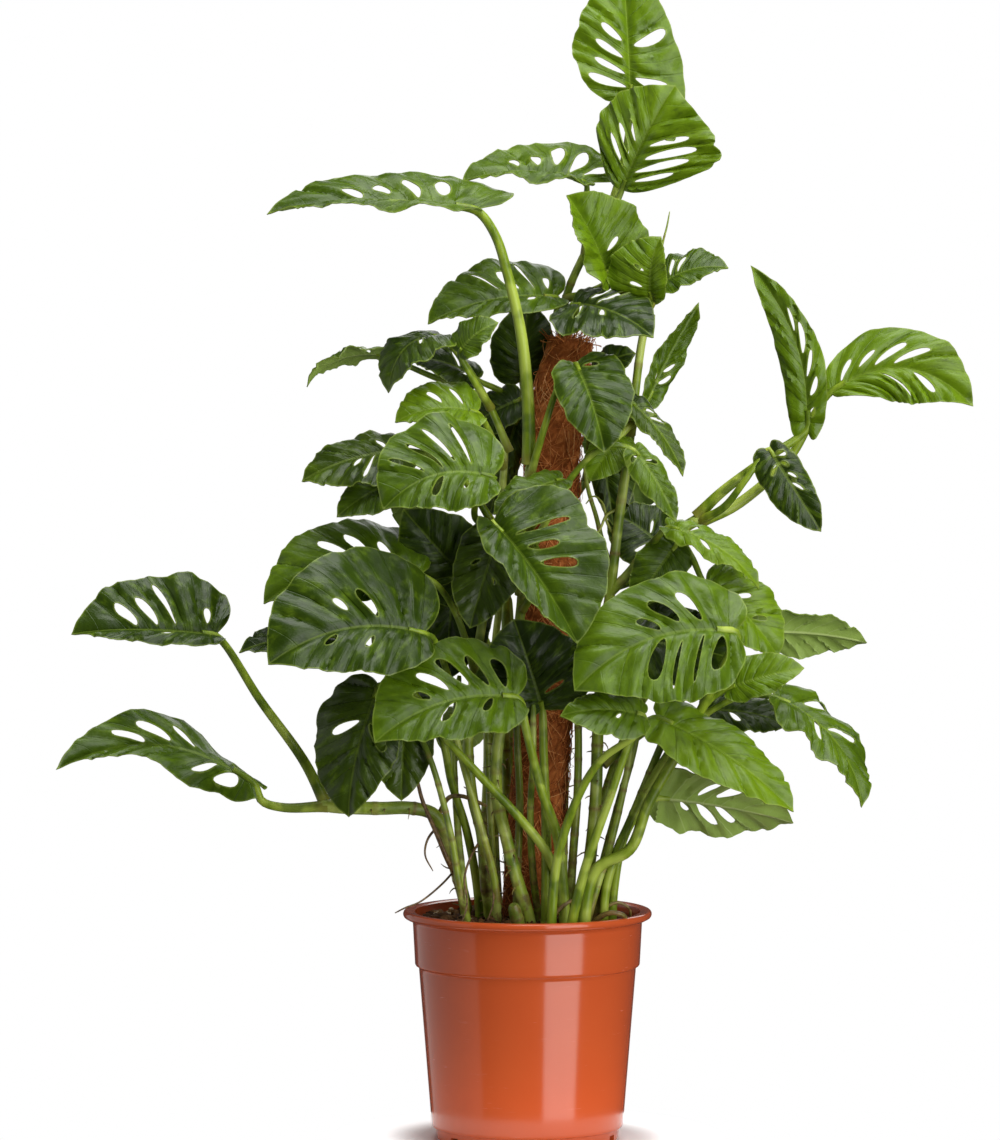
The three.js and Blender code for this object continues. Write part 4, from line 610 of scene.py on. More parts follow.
class Shader:
    """Builds one material's nodes."""

    def __init__(self, name):
        self.material = bpy.data.materials.new(name)
        self.material.use_nodes = True
        self.tree = self.material.node_tree
        self.tree.nodes.clear()
        self.surface = self.tree.nodes.new("ShaderNodeBsdfPrincipled")
        output = self.tree.nodes.new("ShaderNodeOutputMaterial")
        self.tree.links.new(self.surface.outputs["BSDF"], output.inputs["Surface"])

    def feed(self, socket, given):
        """Links a value to a socket, or sets the socket to a constant."""
        if isinstance(given, Value):
            self.tree.links.new(given.socket, socket)
        else:
            socket.default_value = given

    def node(self, kind, inputs=(), output=0, stops=None, **settings):
        """Any node: its settings and ramp stops first, then the values or links of its sockets."""
        node = self.tree.nodes.new(kind)
        for name, value in settings.items():
            setattr(node, name, value)
        if stops:
            ramp = node.color_ramp.elements
            while len(ramp) < len(stops):
                ramp.new(1.0)
            for element, (place, colour) in zip(ramp, stops):
                element.position = place
                element.color = colour
        for name, given in dict(inputs).items():
            self.feed(node.inputs[name], given)
        return Value(self, node.outputs[output])

    def math(self, operation, first, second=0.0):
        return self.node("ShaderNodeMath", {0: first, 1: second}, operation=operation)

    def step(self, value, low, high):
        """0 where the value is below low, 1 above high, smooth between them; low may be the higher."""
        return self.node("ShaderNodeMapRange", {"Value": value, "From Min": low, "From Max": high},
                         interpolation_type="SMOOTHSTEP")

    def attribute(self, name):
        return self.node("ShaderNodeAttribute", output="Fac", attribute_name=name)

    def place(self, scale=(1, 1, 1)):
        """The place on the object, in metres times the scale."""
        where = self.node("ShaderNodeTexCoord", output="Object")
        return self.node("ShaderNodeMapping", {"Vector": where, "Scale": scale})

    def noise(self, scale, detail, roughness=0.55, where=None):
        """Noise from 0 to 1, at so many lumps a metre."""
        return self.node("ShaderNodeTexNoise", {
            "Vector": where or self.place(), "Scale": scale, "Detail": detail,
            "Roughness": roughness}, output="Fac")

    def cells(self, scale, feature="F1"):
        """Distance in a pattern of cells, at so many a metre."""
        return self.node("ShaderNodeTexVoronoi", {"Vector": self.place(), "Scale": scale},
                         output="Distance", feature=feature)

    def ramp(self, value, stops):
        return self.node("ShaderNodeValToRGB", {"Fac": value}, output="Color", stops=stops)

    def mix(self, share, first, second):
        """Mixes two colours: a Mix node has those sockets at 6 and 7, and its colour at 2."""
        return self.node("ShaderNodeMix", {0: share, 6: first, 7: second}, output=2, data_type="RGBA")

    def bump(self, height, strength, distance):
        return self.node("ShaderNodeBump", {"Height": height, "Strength": strength, "Distance": distance},
                         output="Normal")

    def finish(self, **sockets):
        """Sets the surface's sockets, given by name with _ for a space."""
        for name, given in sockets.items():
            self.feed(self.surface.inputs[name.replace("_", " ").title().replace("Ior", "IOR")], given)
        return self.material


# ---------------------------------------------------------------- materials

MATERIALS = {}


def material(make):
    """Makes each material once."""
    if make.__name__ not in MATERIALS:
        MATERIALS[make.__name__] = make()
    return MATERIALS[make.__name__]


def vein_streaks(shader):
    """Noise from 0 to 1 that is drawn out along the side veins, and differs from leaf to leaf."""
    where = shader.node("ShaderNodeCombineXYZ", {
        "X": shader.attribute("phase") * 2.2, "Y": shader.attribute("across") * 0.07,
        "Z": shader.attribute("seed")}, output="Vector")
    return shader.noise(1.5, 4, where=where)


def vein_masks(shader):
    """How much a place on a blade is midrib, side vein and the faint vein between two of those."""
    across = abs(shader.attribute("across"))
    phase = shader.attribute("phase")
    spacing = shader.attribute("spacing")
    share = shader.attribute("along")
    rib = shader.step(across - (1 - share) * 0.9, 0.9, 0.2)
    off = shader.math("FRACT", phase + 0.5) - 0.5
    side = shader.step(abs(off) * spacing, 0.75, 0.2)
    faint = shader.step(abs(shader.math("FRACT", phase) - 0.5) * spacing, 0.6, 0.1)
    return rib, side, faint


def leaf_upper():
    """The waxy upper face: deep green with a lighter midrib and faint veins, paler when young, with
    painted highlights along its raised streaks and painted shade in their troughs and in the side veins'
    grooves.
    """
    shader = Shader("leaf_upper")
    rib, side, faint = vein_masks(shader)
    tone = shader.attribute("tone")
    mottle = shader.noise(28, 4)
    base = shader.ramp(tone + (mottle - 0.5) * 0.35, (
        (0.0, srgb(28, 44, 2)), (0.35, srgb(58, 82, 3)),
        (0.7, srgb(94, 124, 6)), (1.0, srgb(132, 158, 22))))
    streak = vein_streaks(shader)
    lime_and_highlight = shader.mix(0.6, base, srgb(132, 164, 30))
    deep = shader.mix(0.7, base, srgb(22, 40, 4))
    # Painted highlight in lime where the streaks rise in the bump below, and painted shade in deep green
    # where they sink.
    base = shader.mix(shader.step(streak, 0.48, 0.78) * 0.55, base, lime_and_highlight)
    base = shader.mix(shader.step(streak, 0.5, 0.24) * 0.68, base, deep)
    base = shader.mix(shader.step(shader.noise(11, 2), 0.45, 0.72) * 0.3, base, lime_and_highlight)
    fine = shader.noise(420, 3)
    base = shader.mix((fine - 0.4) * 0.35, base, srgb(36, 60, 8))
    # Painted shade in the side veins' grooves.
    base = shader.mix(side * 0.25, base, deep)
    base = shader.mix(faint * 0.08, base, srgb(100, 134, 30))
    base = shader.mix(rib * 0.3, base, srgb(138, 162, 56))
    base = shader.mix(shader.step(shader.attribute("rim"), 1.4, 0.2) * 0.45, base, srgb(150, 170, 72))
    height = streak * 1.6 + shader.noise(140, 3) * 0.6 - side * 0.9 - faint * 0.3
    return shader.finish(
        base_color=base, roughness=0.36 + (mottle - 0.5) * 0.25 + rib * 0.1,
        normal=shader.bump(height, 0.4, 0.0011), specular_ior_level=0.34)


def leaf_under():
    """The underside: paler and duller, with raised veins, and lightened beyond its own colour to paint
    the light that shines through the blade.
    """
    shader = Shader("leaf_under")
    rib, side, faint = vein_masks(shader)
    tone = shader.attribute("tone")
    mottle = shader.noise(40, 4)
    # Lighter than the underside's own green: painted light shining through the blade.
    base = shader.ramp(tone + (mottle - 0.5) * 0.3, (
        (0.0, srgb(97, 123, 52)), (0.5, srgb(148, 174, 82)), (1.0, srgb(172, 195, 106))))
    base = shader.mix(faint * 0.2, base, srgb(166, 188, 114))
    base = shader.mix(side * 0.5, base, srgb(176, 196, 120))
    base = shader.mix(rib * 0.8, base, srgb(189, 207, 131))
    cells = shader.cells(330, feature="DISTANCE_TO_EDGE")
    height = side * 0.8 + rib - shader.step(cells, 0.0, 0.12) * 0.25
    return shader.finish(
        base_color=base, roughness=0.5 + (mottle - 0.5) * 0.1,
        normal=shader.bump(height, 0.4, 0.0005), specular_ior_level=0.25)


def stalk_skin():
    """Leaf stalks: light green, streaked lengthwise, browner where they leave the vine."""
    shader = Shader("stalk_skin")
    along = shader.attribute("along")
    streak = shader.noise(160, 3, where=shader.place((1, 1, 0.12)))
    base = shader.ramp(streak, ((0.3, srgb(98, 124, 18)), (0.7, srgb(152, 174, 48))))
    base = shader.mix(shader.step(shader.noise(30, 2), 0.5, 0.6) * 0.7, base, srgb(184, 202, 84))
    base = shader.mix(shader.step(shader.noise(38, 2), 0.48, 0.38) * 0.6, base, srgb(62, 90, 14))
    base = shader.mix(shader.step(along, 14, 2) * 0.55, base, srgb(122, 104, 46))
    scar = shader.step(shader.noise(70, 5, roughness=0.7), 0.6, 0.68)
    base = shader.mix(scar * 0.45, base, srgb(128, 108, 52))
    base = shader.mix(shader.step(shader.cells(700), 0.22, 0.1) * 0.25, base, srgb(176, 190, 104))
    return shader.finish(base_color=base, roughness=0.37 + (streak - 0.5) * 0.15,
                         normal=shader.bump(streak - scar * 0.5, 0.3, 0.0005), specular_ior_level=0.35)


def vine_skin():
    """Vines: yellow-green with corky rings at the nodes, and brown where a root grew."""
    shader = Shader("vine_skin")
    ring = shader.attribute("ring")
    brown = shader.attribute("brown")
    low = shader.attribute("low")
    streak = shader.noise(120, 4, where=shader.place((1, 1, 0.15)))
    base = shader.ramp(streak, ((0.3, srgb(110, 134, 26)), (0.68, srgb(164, 182, 62))))
    base = shader.mix(shader.step(shader.noise(30, 2), 0.5, 0.6) * 0.7, base, srgb(192, 206, 104))
    base = shader.mix(shader.step(shader.noise(38, 2), 0.48, 0.38) * 0.6, base, srgb(70, 96, 20))
    sheath = low * shader.step(shader.noise(46, 5, roughness=0.7), 0.47, 0.56)
    base = shader.mix(sheath * 0.8, base, srgb(108, 78, 38))
    cork = shader.ramp(shader.noise(300, 4), ((0.35, srgb(84, 58, 30)), (0.65, srgb(150, 118, 72))))
    base = shader.mix(ring * 0.75, base, cork)
    base = shader.mix(brown, base, cork)
    specks = shader.step(shader.cells(420), 0.2, 0.1)
    base = shader.mix(specks * 0.3, base, srgb(176, 176, 120))
    return shader.finish(base_color=base, roughness=0.42 + ring * 0.2,
                         normal=shader.bump(streak + ring * shader.noise(500, 3), 0.4, 0.0008))


def coir_fibre():
    """Matted coconut fibre, light and dark."""
    shader = Shader("coir_fibre")
    strand = shader.attribute("strand")
    patch = shader.noise(45, 4)
    grain = shader.noise(900, 3, where=shader.place((1, 1, 0.35)))
    base = shader.ramp(strand * 0.5 + grain * 0.3 + patch * 0.35, (
        (0.2, srgb(78, 40, 18)), (0.48, srgb(158, 86, 38)),
        (0.7, srgb(212, 130, 70)), (0.92, srgb(236, 182, 124))))
    return shader.finish(base_color=base, roughness=0.85,
                         normal=shader.bump(grain, 0.6, 0.001), specular_ior_level=0.15)


def stake_wood():
    """Rough-sawn wood of the stake."""
    shader = Shader("stake_wood")
    grain = shader.noise(220, 4, where=shader.place((1, 1, 0.06)))
    base = shader.ramp(grain, ((0.3, srgb(86, 60, 38)), (0.7, srgb(150, 116, 78))))
    return shader.finish(base_color=base, roughness=0.8, normal=shader.bump(grain, 0.5, 0.0006))


def soil_crumb():
    """Damp potting mix: dark crumbs, bits of bark and a few pale grains."""
    shader = Shader("soil_crumb")
    grade = shader.attribute("grade")
    lump = shader.noise(320, 5, roughness=0.7)
    base = shader.ramp(grade * 0.75 + (lump - 0.5) * 0.5, (
        (0.0, srgb(48, 31, 17)), (0.35, srgb(98, 65, 36)),
        (0.7, srgb(152, 112, 68)), (0.97, srgb(216, 196, 162))))
    return shader.finish(base_color=base, roughness=0.92, normal=shader.bump(lump, 0.8, 0.002),
                         specular_ior_level=0.3)


def pot_plastic():
    """Glossy terracotta-coloured plastic, faintly scuffed."""
    shader = Shader("pot_plastic")
    finish = bpy.context.scene.vine_pot
    cloud = shader.noise(9, 3)
    scuff = shader.noise(60, 6, roughness=0.75, where=shader.place((0.6, 0.6, 6)))
    mark = shader.step(scuff, 0.62, 0.72)
    base = shader.mix(0.3 + (cloud - 0.5) * 0.5, tuple(finish.colour), srgb(180, 62, 28))
    base = shader.mix(mark * 0.25, base, srgb(222, 140, 110))
    grain = shader.noise(1500, 2)
    return shader.finish(base_color=base, roughness=finish.roughness + mark * 0.22 + (cloud - 0.5) * 0.06,
                         normal=shader.bump(grain, 0.05, 0.0002), coat_weight=0.2, coat_roughness=0.1,
                         specular_ior_level=0.4)


def floor_paper():
    """Pale studio paper that glows with painted light beyond the pot's foot, so it ends as white as the
    sky.
    """
    shader = Shader("floor_paper")
    grain = shader.noise(40, 2)
    base = shader.mix(grain * 0.04, srgb(250, 250, 250), srgb(240, 240, 240))
    radius = shader.node("ShaderNodeVectorMath", {0: shader.place()}, output="Value", operation="LENGTH")
    # Painted light: the paper glows beyond the pot's foot and hardly at all near it.
    painted_glow = shader.mix(shader.step(radius, 0.08, 0.12), srgb(20, 20, 20), srgb(255, 255, 255))
    return shader.finish(base_color=base, roughness=0.9, specular_ior_level=0.2,
                         emission_color=painted_glow, emission_strength=0.7)


# ---------------------------------------------------------------- blades

def outline_places(ends):
    """Places on half an outline, at so many spans from the stalk."""
    flat = [(*place, 0) for place in HALF_OUTLINE]
    return smooth_curve(flat, np.asarray(ends) / OUTLINE_SPANS)[:, :2]


def blade_axes(row):
    """The blade's place and directions: base, along the midrib, out of its upper face, right, length."""
    base = np.array(row["base"], float)
    along = np.array(row["tip"], float) - base
    length = np.linalg.norm(along)
    along = along / length
    up = np.array(row["face"], float)
    up = unit(up - along * (up @ along))
    return base, along, up, np.cross(along, up), length


def midrib_places(row, axes, shares):
    """The midrib's middle, arched, bent and hooked at the tip."""
    base, along, up, right, length = axes
    bow = 4 * shares * (1 - shares)
    rise = row["arch"] * bow - row["hook"] * np.maximum(0, shares) ** 4
    sideways = row["bend"] * bow
    return base + np.outer(length * shares, along) + np.outer(rise, up) + np.outer(sideways, right)


def blade_places(row, along, across, relief=0.0):
    """Where places on the flat blade lie once it is bent, folded, cupped and waved, in millimetres."""
    axes = blade_axes(row)
    share = np.abs(across)
    on_right = across > 0
    skew = np.where(on_right, *row["skew"])
    shifted = along + skew * share * (1 - along)
    heading = unit(midrib_places(row, axes, shifted + 0.01) - midrib_places(row, axes, shifted - 0.01))
    right = unit(axes[3] - heading * (heading @ axes[3])[:, None])
    up = np.cross(right, heading)
    half_width = np.where(on_right, *row["wide"])
    turned = smoothstep(*FOLD_TURN, shifted)
    lean = np.radians(row["fold"] + (row["fold_tip"] - row["fold"]) * turned)
    start = row["wide"][0] + np.where(on_right, *RIPPLE_START)
    ripple = np.sin(RIPPLE * along + start)
    rise = share * half_width * np.sin(lean) + share ** 2 * (row["wave"] * ripple - row["cup"]) + relief
    sideways = np.sign(across) * share * half_width * np.cos(lean)
    return midrib_places(row, axes, shifted) + right * sideways[:, None] + up * rise[:, None]


def vein_phase(along, across):
    """How many side veins lie between a place and the stalk, and the veins' spacing there."""
    share = np.abs(across)
    ends = outline_places(VEIN_ENDS)
    ends[0] = LOBE_VEIN_END
    lines = np.stack([root + (end[0] - root) * share / max(end[1], 0.05)
                      for root, end in zip(VEIN_ROOTS, ends)])
    lines[-1] = 1
    lines = np.maximum.accumulate(lines + np.arange(len(lines))[:, None] * 1e-4, axis=0)
    phase = np.zeros(len(along))
    spacing = np.full(len(along), 0.1)
    for cell in range(len(lines) - 1):
        gap = lines[cell + 1] - lines[cell]
        here = (along >= lines[cell]) & (along < lines[cell + 1])
        phase[here] = cell + ((along - lines[cell]) / gap)[here]
        spacing[here] = gap[here]
    return phase, spacing


def hole_outline(kind, cell, draw):
    """A teardrop hole between two side veins of the right half, as shares."""
    start, end, width = HOLES[kind]
    start, end = start + draw.uniform(-0.04, 0.05), end + draw.uniform(-0.06, 0.05)
    width *= draw.uniform(0.8, 1.1)
    tips = outline_places(VEIN_ENDS[cell:cell + 2])
    turn = np.arange(HOLE_SIDES) * 2 * math.pi / HOLE_SIDES
    far = (1 - np.cos(turn)) / 2
    out = start + (end - start) * far
    side = 0.5 + width * np.sin(turn) * (0.8 + 0.35 * far)
    on_a, on_b = (np.stack([root + (tip[0] - root) * out, tip[1] * out], axis=1)
                  for root, tip in zip(VEIN_ROOTS[cell:], tips))
    return on_a + (on_b - on_a) * side[:, None]


def inside(points, loop):
    """Which points lie inside a closed loop."""
    x, y = points[:, 0][:, None], points[:, 1][:, None]
    ax, ay = loop[:, 0], loop[:, 1]
    bx, by = np.roll(ax, -1), np.roll(ay, -1)
    crosses = (ay > y) != (by > y)
    rise = np.where(by == ay, 1.0, by - ay)
    return (crosses & (x < (bx - ax) * (y - ay) / rise + ax)).sum(axis=1) % 2 == 1


def distance_to(rim, points):
    """How far each point is from the nearest point of the rim."""
    return np.sqrt(((points[:, None, :] - rim[None, :, :]) ** 2).sum(axis=2).min(axis=1))


def flat_blade(row, spacing):
    """The flat blade, triangulated evenly: places as shares, triangles, and distance to the rim."""
    *_, length = blade_axes(row)
    wide = row["wide"]
    scale = np.array([length, 1.0])

    def flat(points, side):
        return points * scale * [1, side * (wide[0] if side > 0 else wide[1])]

    draw = random.Random(row["name"])
    spread = np.linspace(0, OUTLINE_SPANS, MARGIN_PLACES)
    halves = []
    for side in (1, -1):
        half = outline_places(spread)
        waves = [(deep, fast, draw.uniform(0, 2 * math.pi)) for deep, fast in RUFFLES]
        half[:, 1] *= 1 + sum(deep * np.sin(spread * fast + first) for deep, fast, first in waves)
        halves.append(flat(half, side))
    loops = [np.concatenate([halves[0][:-1], halves[1][:0:-1]])]
    for side, letters in zip((1, -1), row["holes"]):
        for cell, letter in enumerate(letters, start=1):
            if letter in HOLES:
                loops.append(flat(hole_outline(letter, cell, draw), side))
    low, high = loops[0].min(axis=0), loops[0].max(axis=0)
    rows = np.arange(low[1], high[1], spacing * ROW_STEP)
    grid = np.array([(x + (k % 2) * spacing / 2, y)
                     for k, y in enumerate(rows) for x in np.arange(low[0], high[0], spacing)])
    rim = np.concatenate(loops)
    grid = grid[inside(grid, loops[0]) & (distance_to(rim, grid) > spacing * RIM_GAP)]
    points = np.concatenate([rim, grid])
    edges = []
    start = 0
    for loop in loops:
        edges += [(start + k, start + (k + 1) % len(loop)) for k in range(len(loop))]
        start += len(loop)
    # This fills the hull, and the triangles beyond the margin and in the holes are dropped.
    found, _, triangles, *_ = delaunay_2d_cdt(
        [Vector(place) for place in points], edges, [], 0, SAME_PLACE, False)
    places, triangles = np.array([tuple(place) for place in found]), np.array(triangles)
    centres = places[triangles].mean(axis=1)
    kept = inside(centres, loops[0])
    for hole in loops[1:]:
        kept &= ~inside(centres, hole)
    triangles = triangles[kept][:, ::-1]
    used, corners = np.unique(triangles, return_inverse=True)
    places = places[used]
    half_width = np.where(places[:, 1] > 0, *wide)
    shares = np.stack([places[:, 0] / length, places[:, 1] / half_width], axis=1)
    return shares, corners.reshape(-1, 3), distance_to(rim, places)


def blade(row, tone):
    """One blade with its holes, veins and waves."""
    leaf_look = bpy.context.scene.vine_leaves
    shares, triangles, rim = flat_blade(row, leaf_look.mesh_step / MM)
    along, across = shares[:, 0], shares[:, 1]
    phase, gap = vein_phase(along, across)
    *_, length = blade_axes(row)
    wide = np.where(across > 0, *row["wide"])
    across_mm = np.abs(across) * wide
    middle = smoothstep(0.5, 6, across_mm) * smoothstep(1.02, 0.7, np.abs(across))
    fit = min(1.0, length / FULL_RELIEF_LENGTH)
    quilt = leaf_look.quilt / MM * fit * np.abs(np.sin(math.pi * phase)) ** 0.7 * middle
    groove = -GROOVE_DEPTH * fit * np.exp(-(across_mm / GROOVE_WIDTH) ** 2)
    draw = random.Random(row["name"] + " relief")
    turns = [draw.uniform(0, 2 * math.pi) for _ in range(6)]
    x, y = along * length, across * wide
    # Puckers over the whole blade, finer ones along the side veins, and a flutter at the margin.
    pucker = (1.2 * np.sin(x * 0.11 + turns[0]) * np.sin(y * 0.13 + turns[1])
              + 0.6 * np.sin(2 * math.pi * 1.5 * phase + 0.07 * y + turns[2])
              + 0.45 * np.sin(2 * math.pi * 2.1 * phase - 0.11 * y + turns[3]))
    flutter = (np.abs(across) ** 3) * fit * (
        1.6 * np.sin(along * 13 + turns[4] + np.sign(across)) + 0.9 * np.sin(along * 27 + turns[5]))
    relief = quilt + groove + pucker * fit * smoothstep(2, 12, across_mm) + flutter
    settled = blade_places(row, along, across, relief)
    piece = mesh_piece(
        row["name"] + "_blade", settled * MM, triangles, [material(leaf_upper), material(leaf_under)],
        uv=np.stack([along, 0.5 + across / 2], axis=1),
        values={"along": along, "across": across * wide, "phase": phase, "spacing": gap * length,
                "rim": rim, "seed": np.full(len(along), draw.uniform(0, 60)),
                "tone": np.full(len(along), tone)})
    apply_modifier(piece, "SOLIDIFY", thickness=leaf_look.thickness, offset=0.0, material_offset=1)
    smooth(piece)
    return piece


def stalk(row):
    """The leaf's stalk: widest where it leaves the vine, and slimmer towards the blade."""
    radius = row["stalk_radius"] * STOUT.get(row["name"], 1)
    _, _, up, *_ = blade_axes(row)
    joint = blade_places(row, np.array(STALK_END), np.zeros(len(STALK_END)))
    joint[0] -= up * radius * 0.5
    places, lengths = even_curve([*row["stalk"], *joint], STALK_STEP)
    share = lengths / lengths[-1]
    foot, neck = 0.9 * np.exp(-lengths / 9), 0.35 * smoothstep(0.9, 1, share)
    radii = 0.3 + radius * (1.1 - 0.42 * share) + foot - neck
    vertices, faces = sweep(places, radii, STALK_SIDES)
    return mesh_piece(row["name"] + "_stalk", vertices * MM, faces, [material(stalk_skin)],
                      values={"along": np.repeat(lengths, STALK_SIDES)})


def build_leaf(row, twins):
    """A leaf, with any leaf that shares its node, as one piece."""
    parts = []
    for each in (row, *twins):
        # The kind's tone plus the leaf's shift, which is partly painted light and shade.
        tone = TONES[each["tone"]] + TONE_AND_LIGHT_SHIFTS.get(each["name"], 0)
        part = stalk(each)
        smooth(part)
        parts += [blade(each, tone), part]
    piece = join("foliage_" + row["name"], parts)
    place_on_frame(piece, "leaf_" + row["tone"], row["name"])


# ---------------------------------------------------------------- vines

# How far apart the rings are that old leaves left on a vine and on a young shoot, and their size:
# half their width, and how much thicker the stem is there.
NODE_STEPS = {"vine_front": 34, "vine_left": 46, "vine_runner": 38, "vine_right": 52,
              "vine_back_right": 58, "vine_back_left": 60}
YOUNG_NODE_STEP = 22
RING_WIDTH, RING_RISE = 1.4, 0.09

# Faces round each kind of stem.
VINE_SIDES, SHOOT_SIDES, ROOTLET_SIDES = 14, 10, 5

# The length of a stem's faces, the heights between which rootlets grow, and a rootlet's radii.
VINE_STEP = 2.4
ROOTLET_LOW, ROOTLET_HIGH = 172, 330
ROOTLET_RADII = (0.7, 0.6, 0.45, 0.2)


def stem_line(radii, places):
    """A stem's middle, the lengths along it and its radius there."""
    middle, lengths = even_curve(places, VINE_STEP)
    return middle, lengths, radii[0] + (radii[1] - radii[0]) * lengths / lengths[-1]


def vine_tube(name, radii, places, sides, brown=0.0, node_step=None, seed=0):
    """One stem with rings where leaves grew."""
    middle, lengths, width = stem_line(radii, places)
    ring = np.zeros(len(lengths))
    if node_step:
        draw = random.Random(seed)
        place = node_step * 0.6
        while place < lengths[-1] - 6:
            ring = np.maximum(ring, np.exp(-((lengths - place) / RING_WIDTH) ** 2))
            place += node_step * draw.uniform(0.75, 1.2)
    width = width * (1 + RING_RISE * ring)
    width = width * (1 - 0.35 * np.exp(-((lengths[-1] - lengths) / 2.0)))
    vertices, faces = sweep(middle, width, sides)
    low = 1 - smoothstep(150, 300, middle[:, 2])
    values = {"ring": ring, "brown": np.full(len(ring), brown), "low": low}
    return mesh_piece(name, vertices * MM, faces, [material(vine_skin)],
                      values={key: np.repeat(numbers, sides) for key, numbers in values.items()})


def rootlets(name, radii, places, count, seed):
    """Short brown roots that stand out of a vine's lower part."""
    draw = random.Random(seed)
    middle, _, width = stem_line(radii, places)
    lower = [k for k, place in enumerate(middle) if ROOTLET_LOW < place[2] < ROOTLET_HIGH]
    roots = []
    for _ in range(count):
        k, turn = draw.choice(lower), draw.uniform(0, 2 * math.pi)
        out = np.array([math.cos(turn), math.sin(turn), 0])
        drop = np.array([draw.uniform(-0.4, 0.4), draw.uniform(-0.4, 0.4), draw.uniform(-0.9, 0.5)])
        reach = draw.uniform(3, 9)
        spots = [middle[k] + out * (width[k] * 0.8 + reach * part) + drop * reach * part ** 2
                 for part in (0, 0.35, 0.7, 1)]
        roots.append(sweep(spots, ROOTLET_RADII, ROOTLET_SIDES))
    vertices, faces = gather(roots)
    values = {"ring": 0.0, "brown": 0.85, "low": 0.0}
    return mesh_piece(name, vertices * MM, faces, [material(vine_skin)],
                      values={key: np.full(len(vertices), number) for key, number in values.items()})


def build_vine(name, index):
    """A vine with the shoots and roots that grew on it."""
    radii, places = VINES[name]
    parts = [vine_tube(name, radii, places, VINE_SIDES, node_step=NODE_STEPS[name], seed=index),
             rootlets(name, radii, places, bpy.context.scene.vine_stems.rootlets, seed=index + 20)]
    for on, shoot_radii, brown, shoot_places in SHOOTS:
        if on == name:
            step = None if brown else YOUNG_NODE_STEP
            parts.append(vine_tube(name, shoot_radii, shoot_places, SHOOT_SIDES, brown, step, index))
    piece = join("stem_" + name, parts)
    smooth(piece)
    place_on_frame(piece, "vine", name)


# ---------------------------------------------------------------- pole

COIR_SEED = 11

# The felt's radius at its foot, and how much narrower it is at its top and over its shoulder.
FELT_RADIUS, FELT_TAPER, FELT_SHOULDER = 21.5, 1.5, 3.5

# The length of the felt's faces, the faces round the felt and round a loose fibre, and the places
# along each fibre.
FELT_STEP = 3.0
FELT_SIDES, FIBRE_SIDES, FIBRE_POINTS = 48, 3, 6


def build_coir():
    """The sleeve: a lumpy felt with loose fibres lying over it and a ragged top."""
    look = bpy.context.scene.vine_pole
    draw = random.Random(COIR_SEED)
    middle, lengths = even_curve(POLE, FELT_STEP)
    share = lengths / lengths[-1]
    radius = FELT_RADIUS - FELT_TAPER * share - FELT_SHOULDER * smoothstep(0.93, 1, share)
    vertices, faces = sweep(middle, radius, FELT_SIDES)
    ring = np.repeat(np.arange(len(middle)), FELT_SIDES)
    outward = unit(vertices - middle[ring])
    angle = np.tile(np.arange(FELT_SIDES) * 2 * math.pi / FELT_SIDES, len(middle))
    height = lengths[ring]
    lumps = (np.sin(height * 0.35 + 3 * np.sin(angle)) * np.cos(2 * angle + height * 0.11)
             + 0.7 * np.sin(height * 0.9 + 5 * angle))
    jitter = np.array([draw.uniform(-1, 1) for _ in vertices])
    vertices = vertices + outward * (0.8 * lumps + 0.55 * jitter)[:, None]
    felt = mesh_piece("coir_felt", vertices * MM, faces, [material(coir_fibre)],
                      values={"strand": 0.35 + 0.2 * jitter})
    part = np.arange(FIBRE_POINTS) / (FIBRE_POINTS - 1)
    fibres, shades = [], []
    # Most fibres lie close to the felt and a few bow out.
    for _ in range(look.fibres):
        start = draw.uniform(0.2, 1.0)
        turn = draw.uniform(0, 2 * math.pi)
        drift = draw.uniform(-1.1, 1.1)
        rise = draw.uniform(-26, 26)
        bulge = draw.uniform(0.1, 1.2) if draw.random() < 0.94 else draw.uniform(2, 4.5)
        where = np.clip(start * lengths[-1] + rise * part, 0, lengths[-1])
        here = turn + drift * part
        out = np.interp(where, lengths, radius) + 1.0 + bulge * np.sin(math.pi * part)
        away = np.stack([out * np.cos(here), out * np.sin(here), 0 * out], axis=1)
        spots = places_at(where, lengths, middle) + away
        fibres.append(sweep(spots, draw.uniform(0.16, 0.34), FIBRE_SIDES))
        shades.append(draw.uniform(0.25, 1.0))
    for _ in range(look.tuft):
        turn = draw.uniform(0, 2 * math.pi)
        start = middle[-1] + np.array([
            draw.uniform(0, 17) * math.cos(turn), draw.uniform(0, 17) * math.sin(turn), -6.0])
        swing = np.array([draw.uniform(-9, 9), draw.uniform(-9, 9), draw.uniform(5, 15)])
        curl = np.array([draw.uniform(-7, 7), draw.uniform(-7, 7), draw.uniform(-7, 2)])
        spots = start + np.outer(part, swing) + np.outer(part ** 2, curl)
        fibres.append(sweep(spots, draw.uniform(0.2, 0.42), FIBRE_SIDES))
        shades.append(draw.uniform(0.3, 1.0))
    vertices, faces = gather(fibres)
    loose = mesh_piece("coir_strands", vertices * MM, faces, [material(coir_fibre)],
                       values={"strand": np.repeat(shades, FIBRE_POINTS * FIBRE_SIDES)})
    piece = join("coir_sleeve", [felt, loose])
    smooth(piece, degrees=70)
    place_on_frame(piece, "coir", "pole_coir")


# ---------------------------------------------------------------- pot and soil

# The drain slots: how many, how far the first is turned, in spaces between two, and their size in
# metres.
SLOTS, SLOT_TURN = 6, 0.62
SLOT_SIZE = (0.014, 0.009, 0.010)

# The soil's edge at its top, the height there, and how high and wide its mound is.
SOIL_SEED = 5
SOIL_RADIUS, SOIL_TOP = 82.4, 168
MOUND_RISE, MOUND_RADIUS = 3, 70

# The rings and faces of the soil's top, and the radius and height of the rings below its edge.
SOIL_RINGS, SOIL_SIDES = 42, 120
SOIL_SKIRT = ((80.0, 134.0), (70.4, 15.0), (62.0, 3.9))

# How far out crumbs lie, and from which share of them on they are bark, and pale.
CRUMB_REACH = 80
BARK_FROM, PALE_FROM = 0.82, 0.975


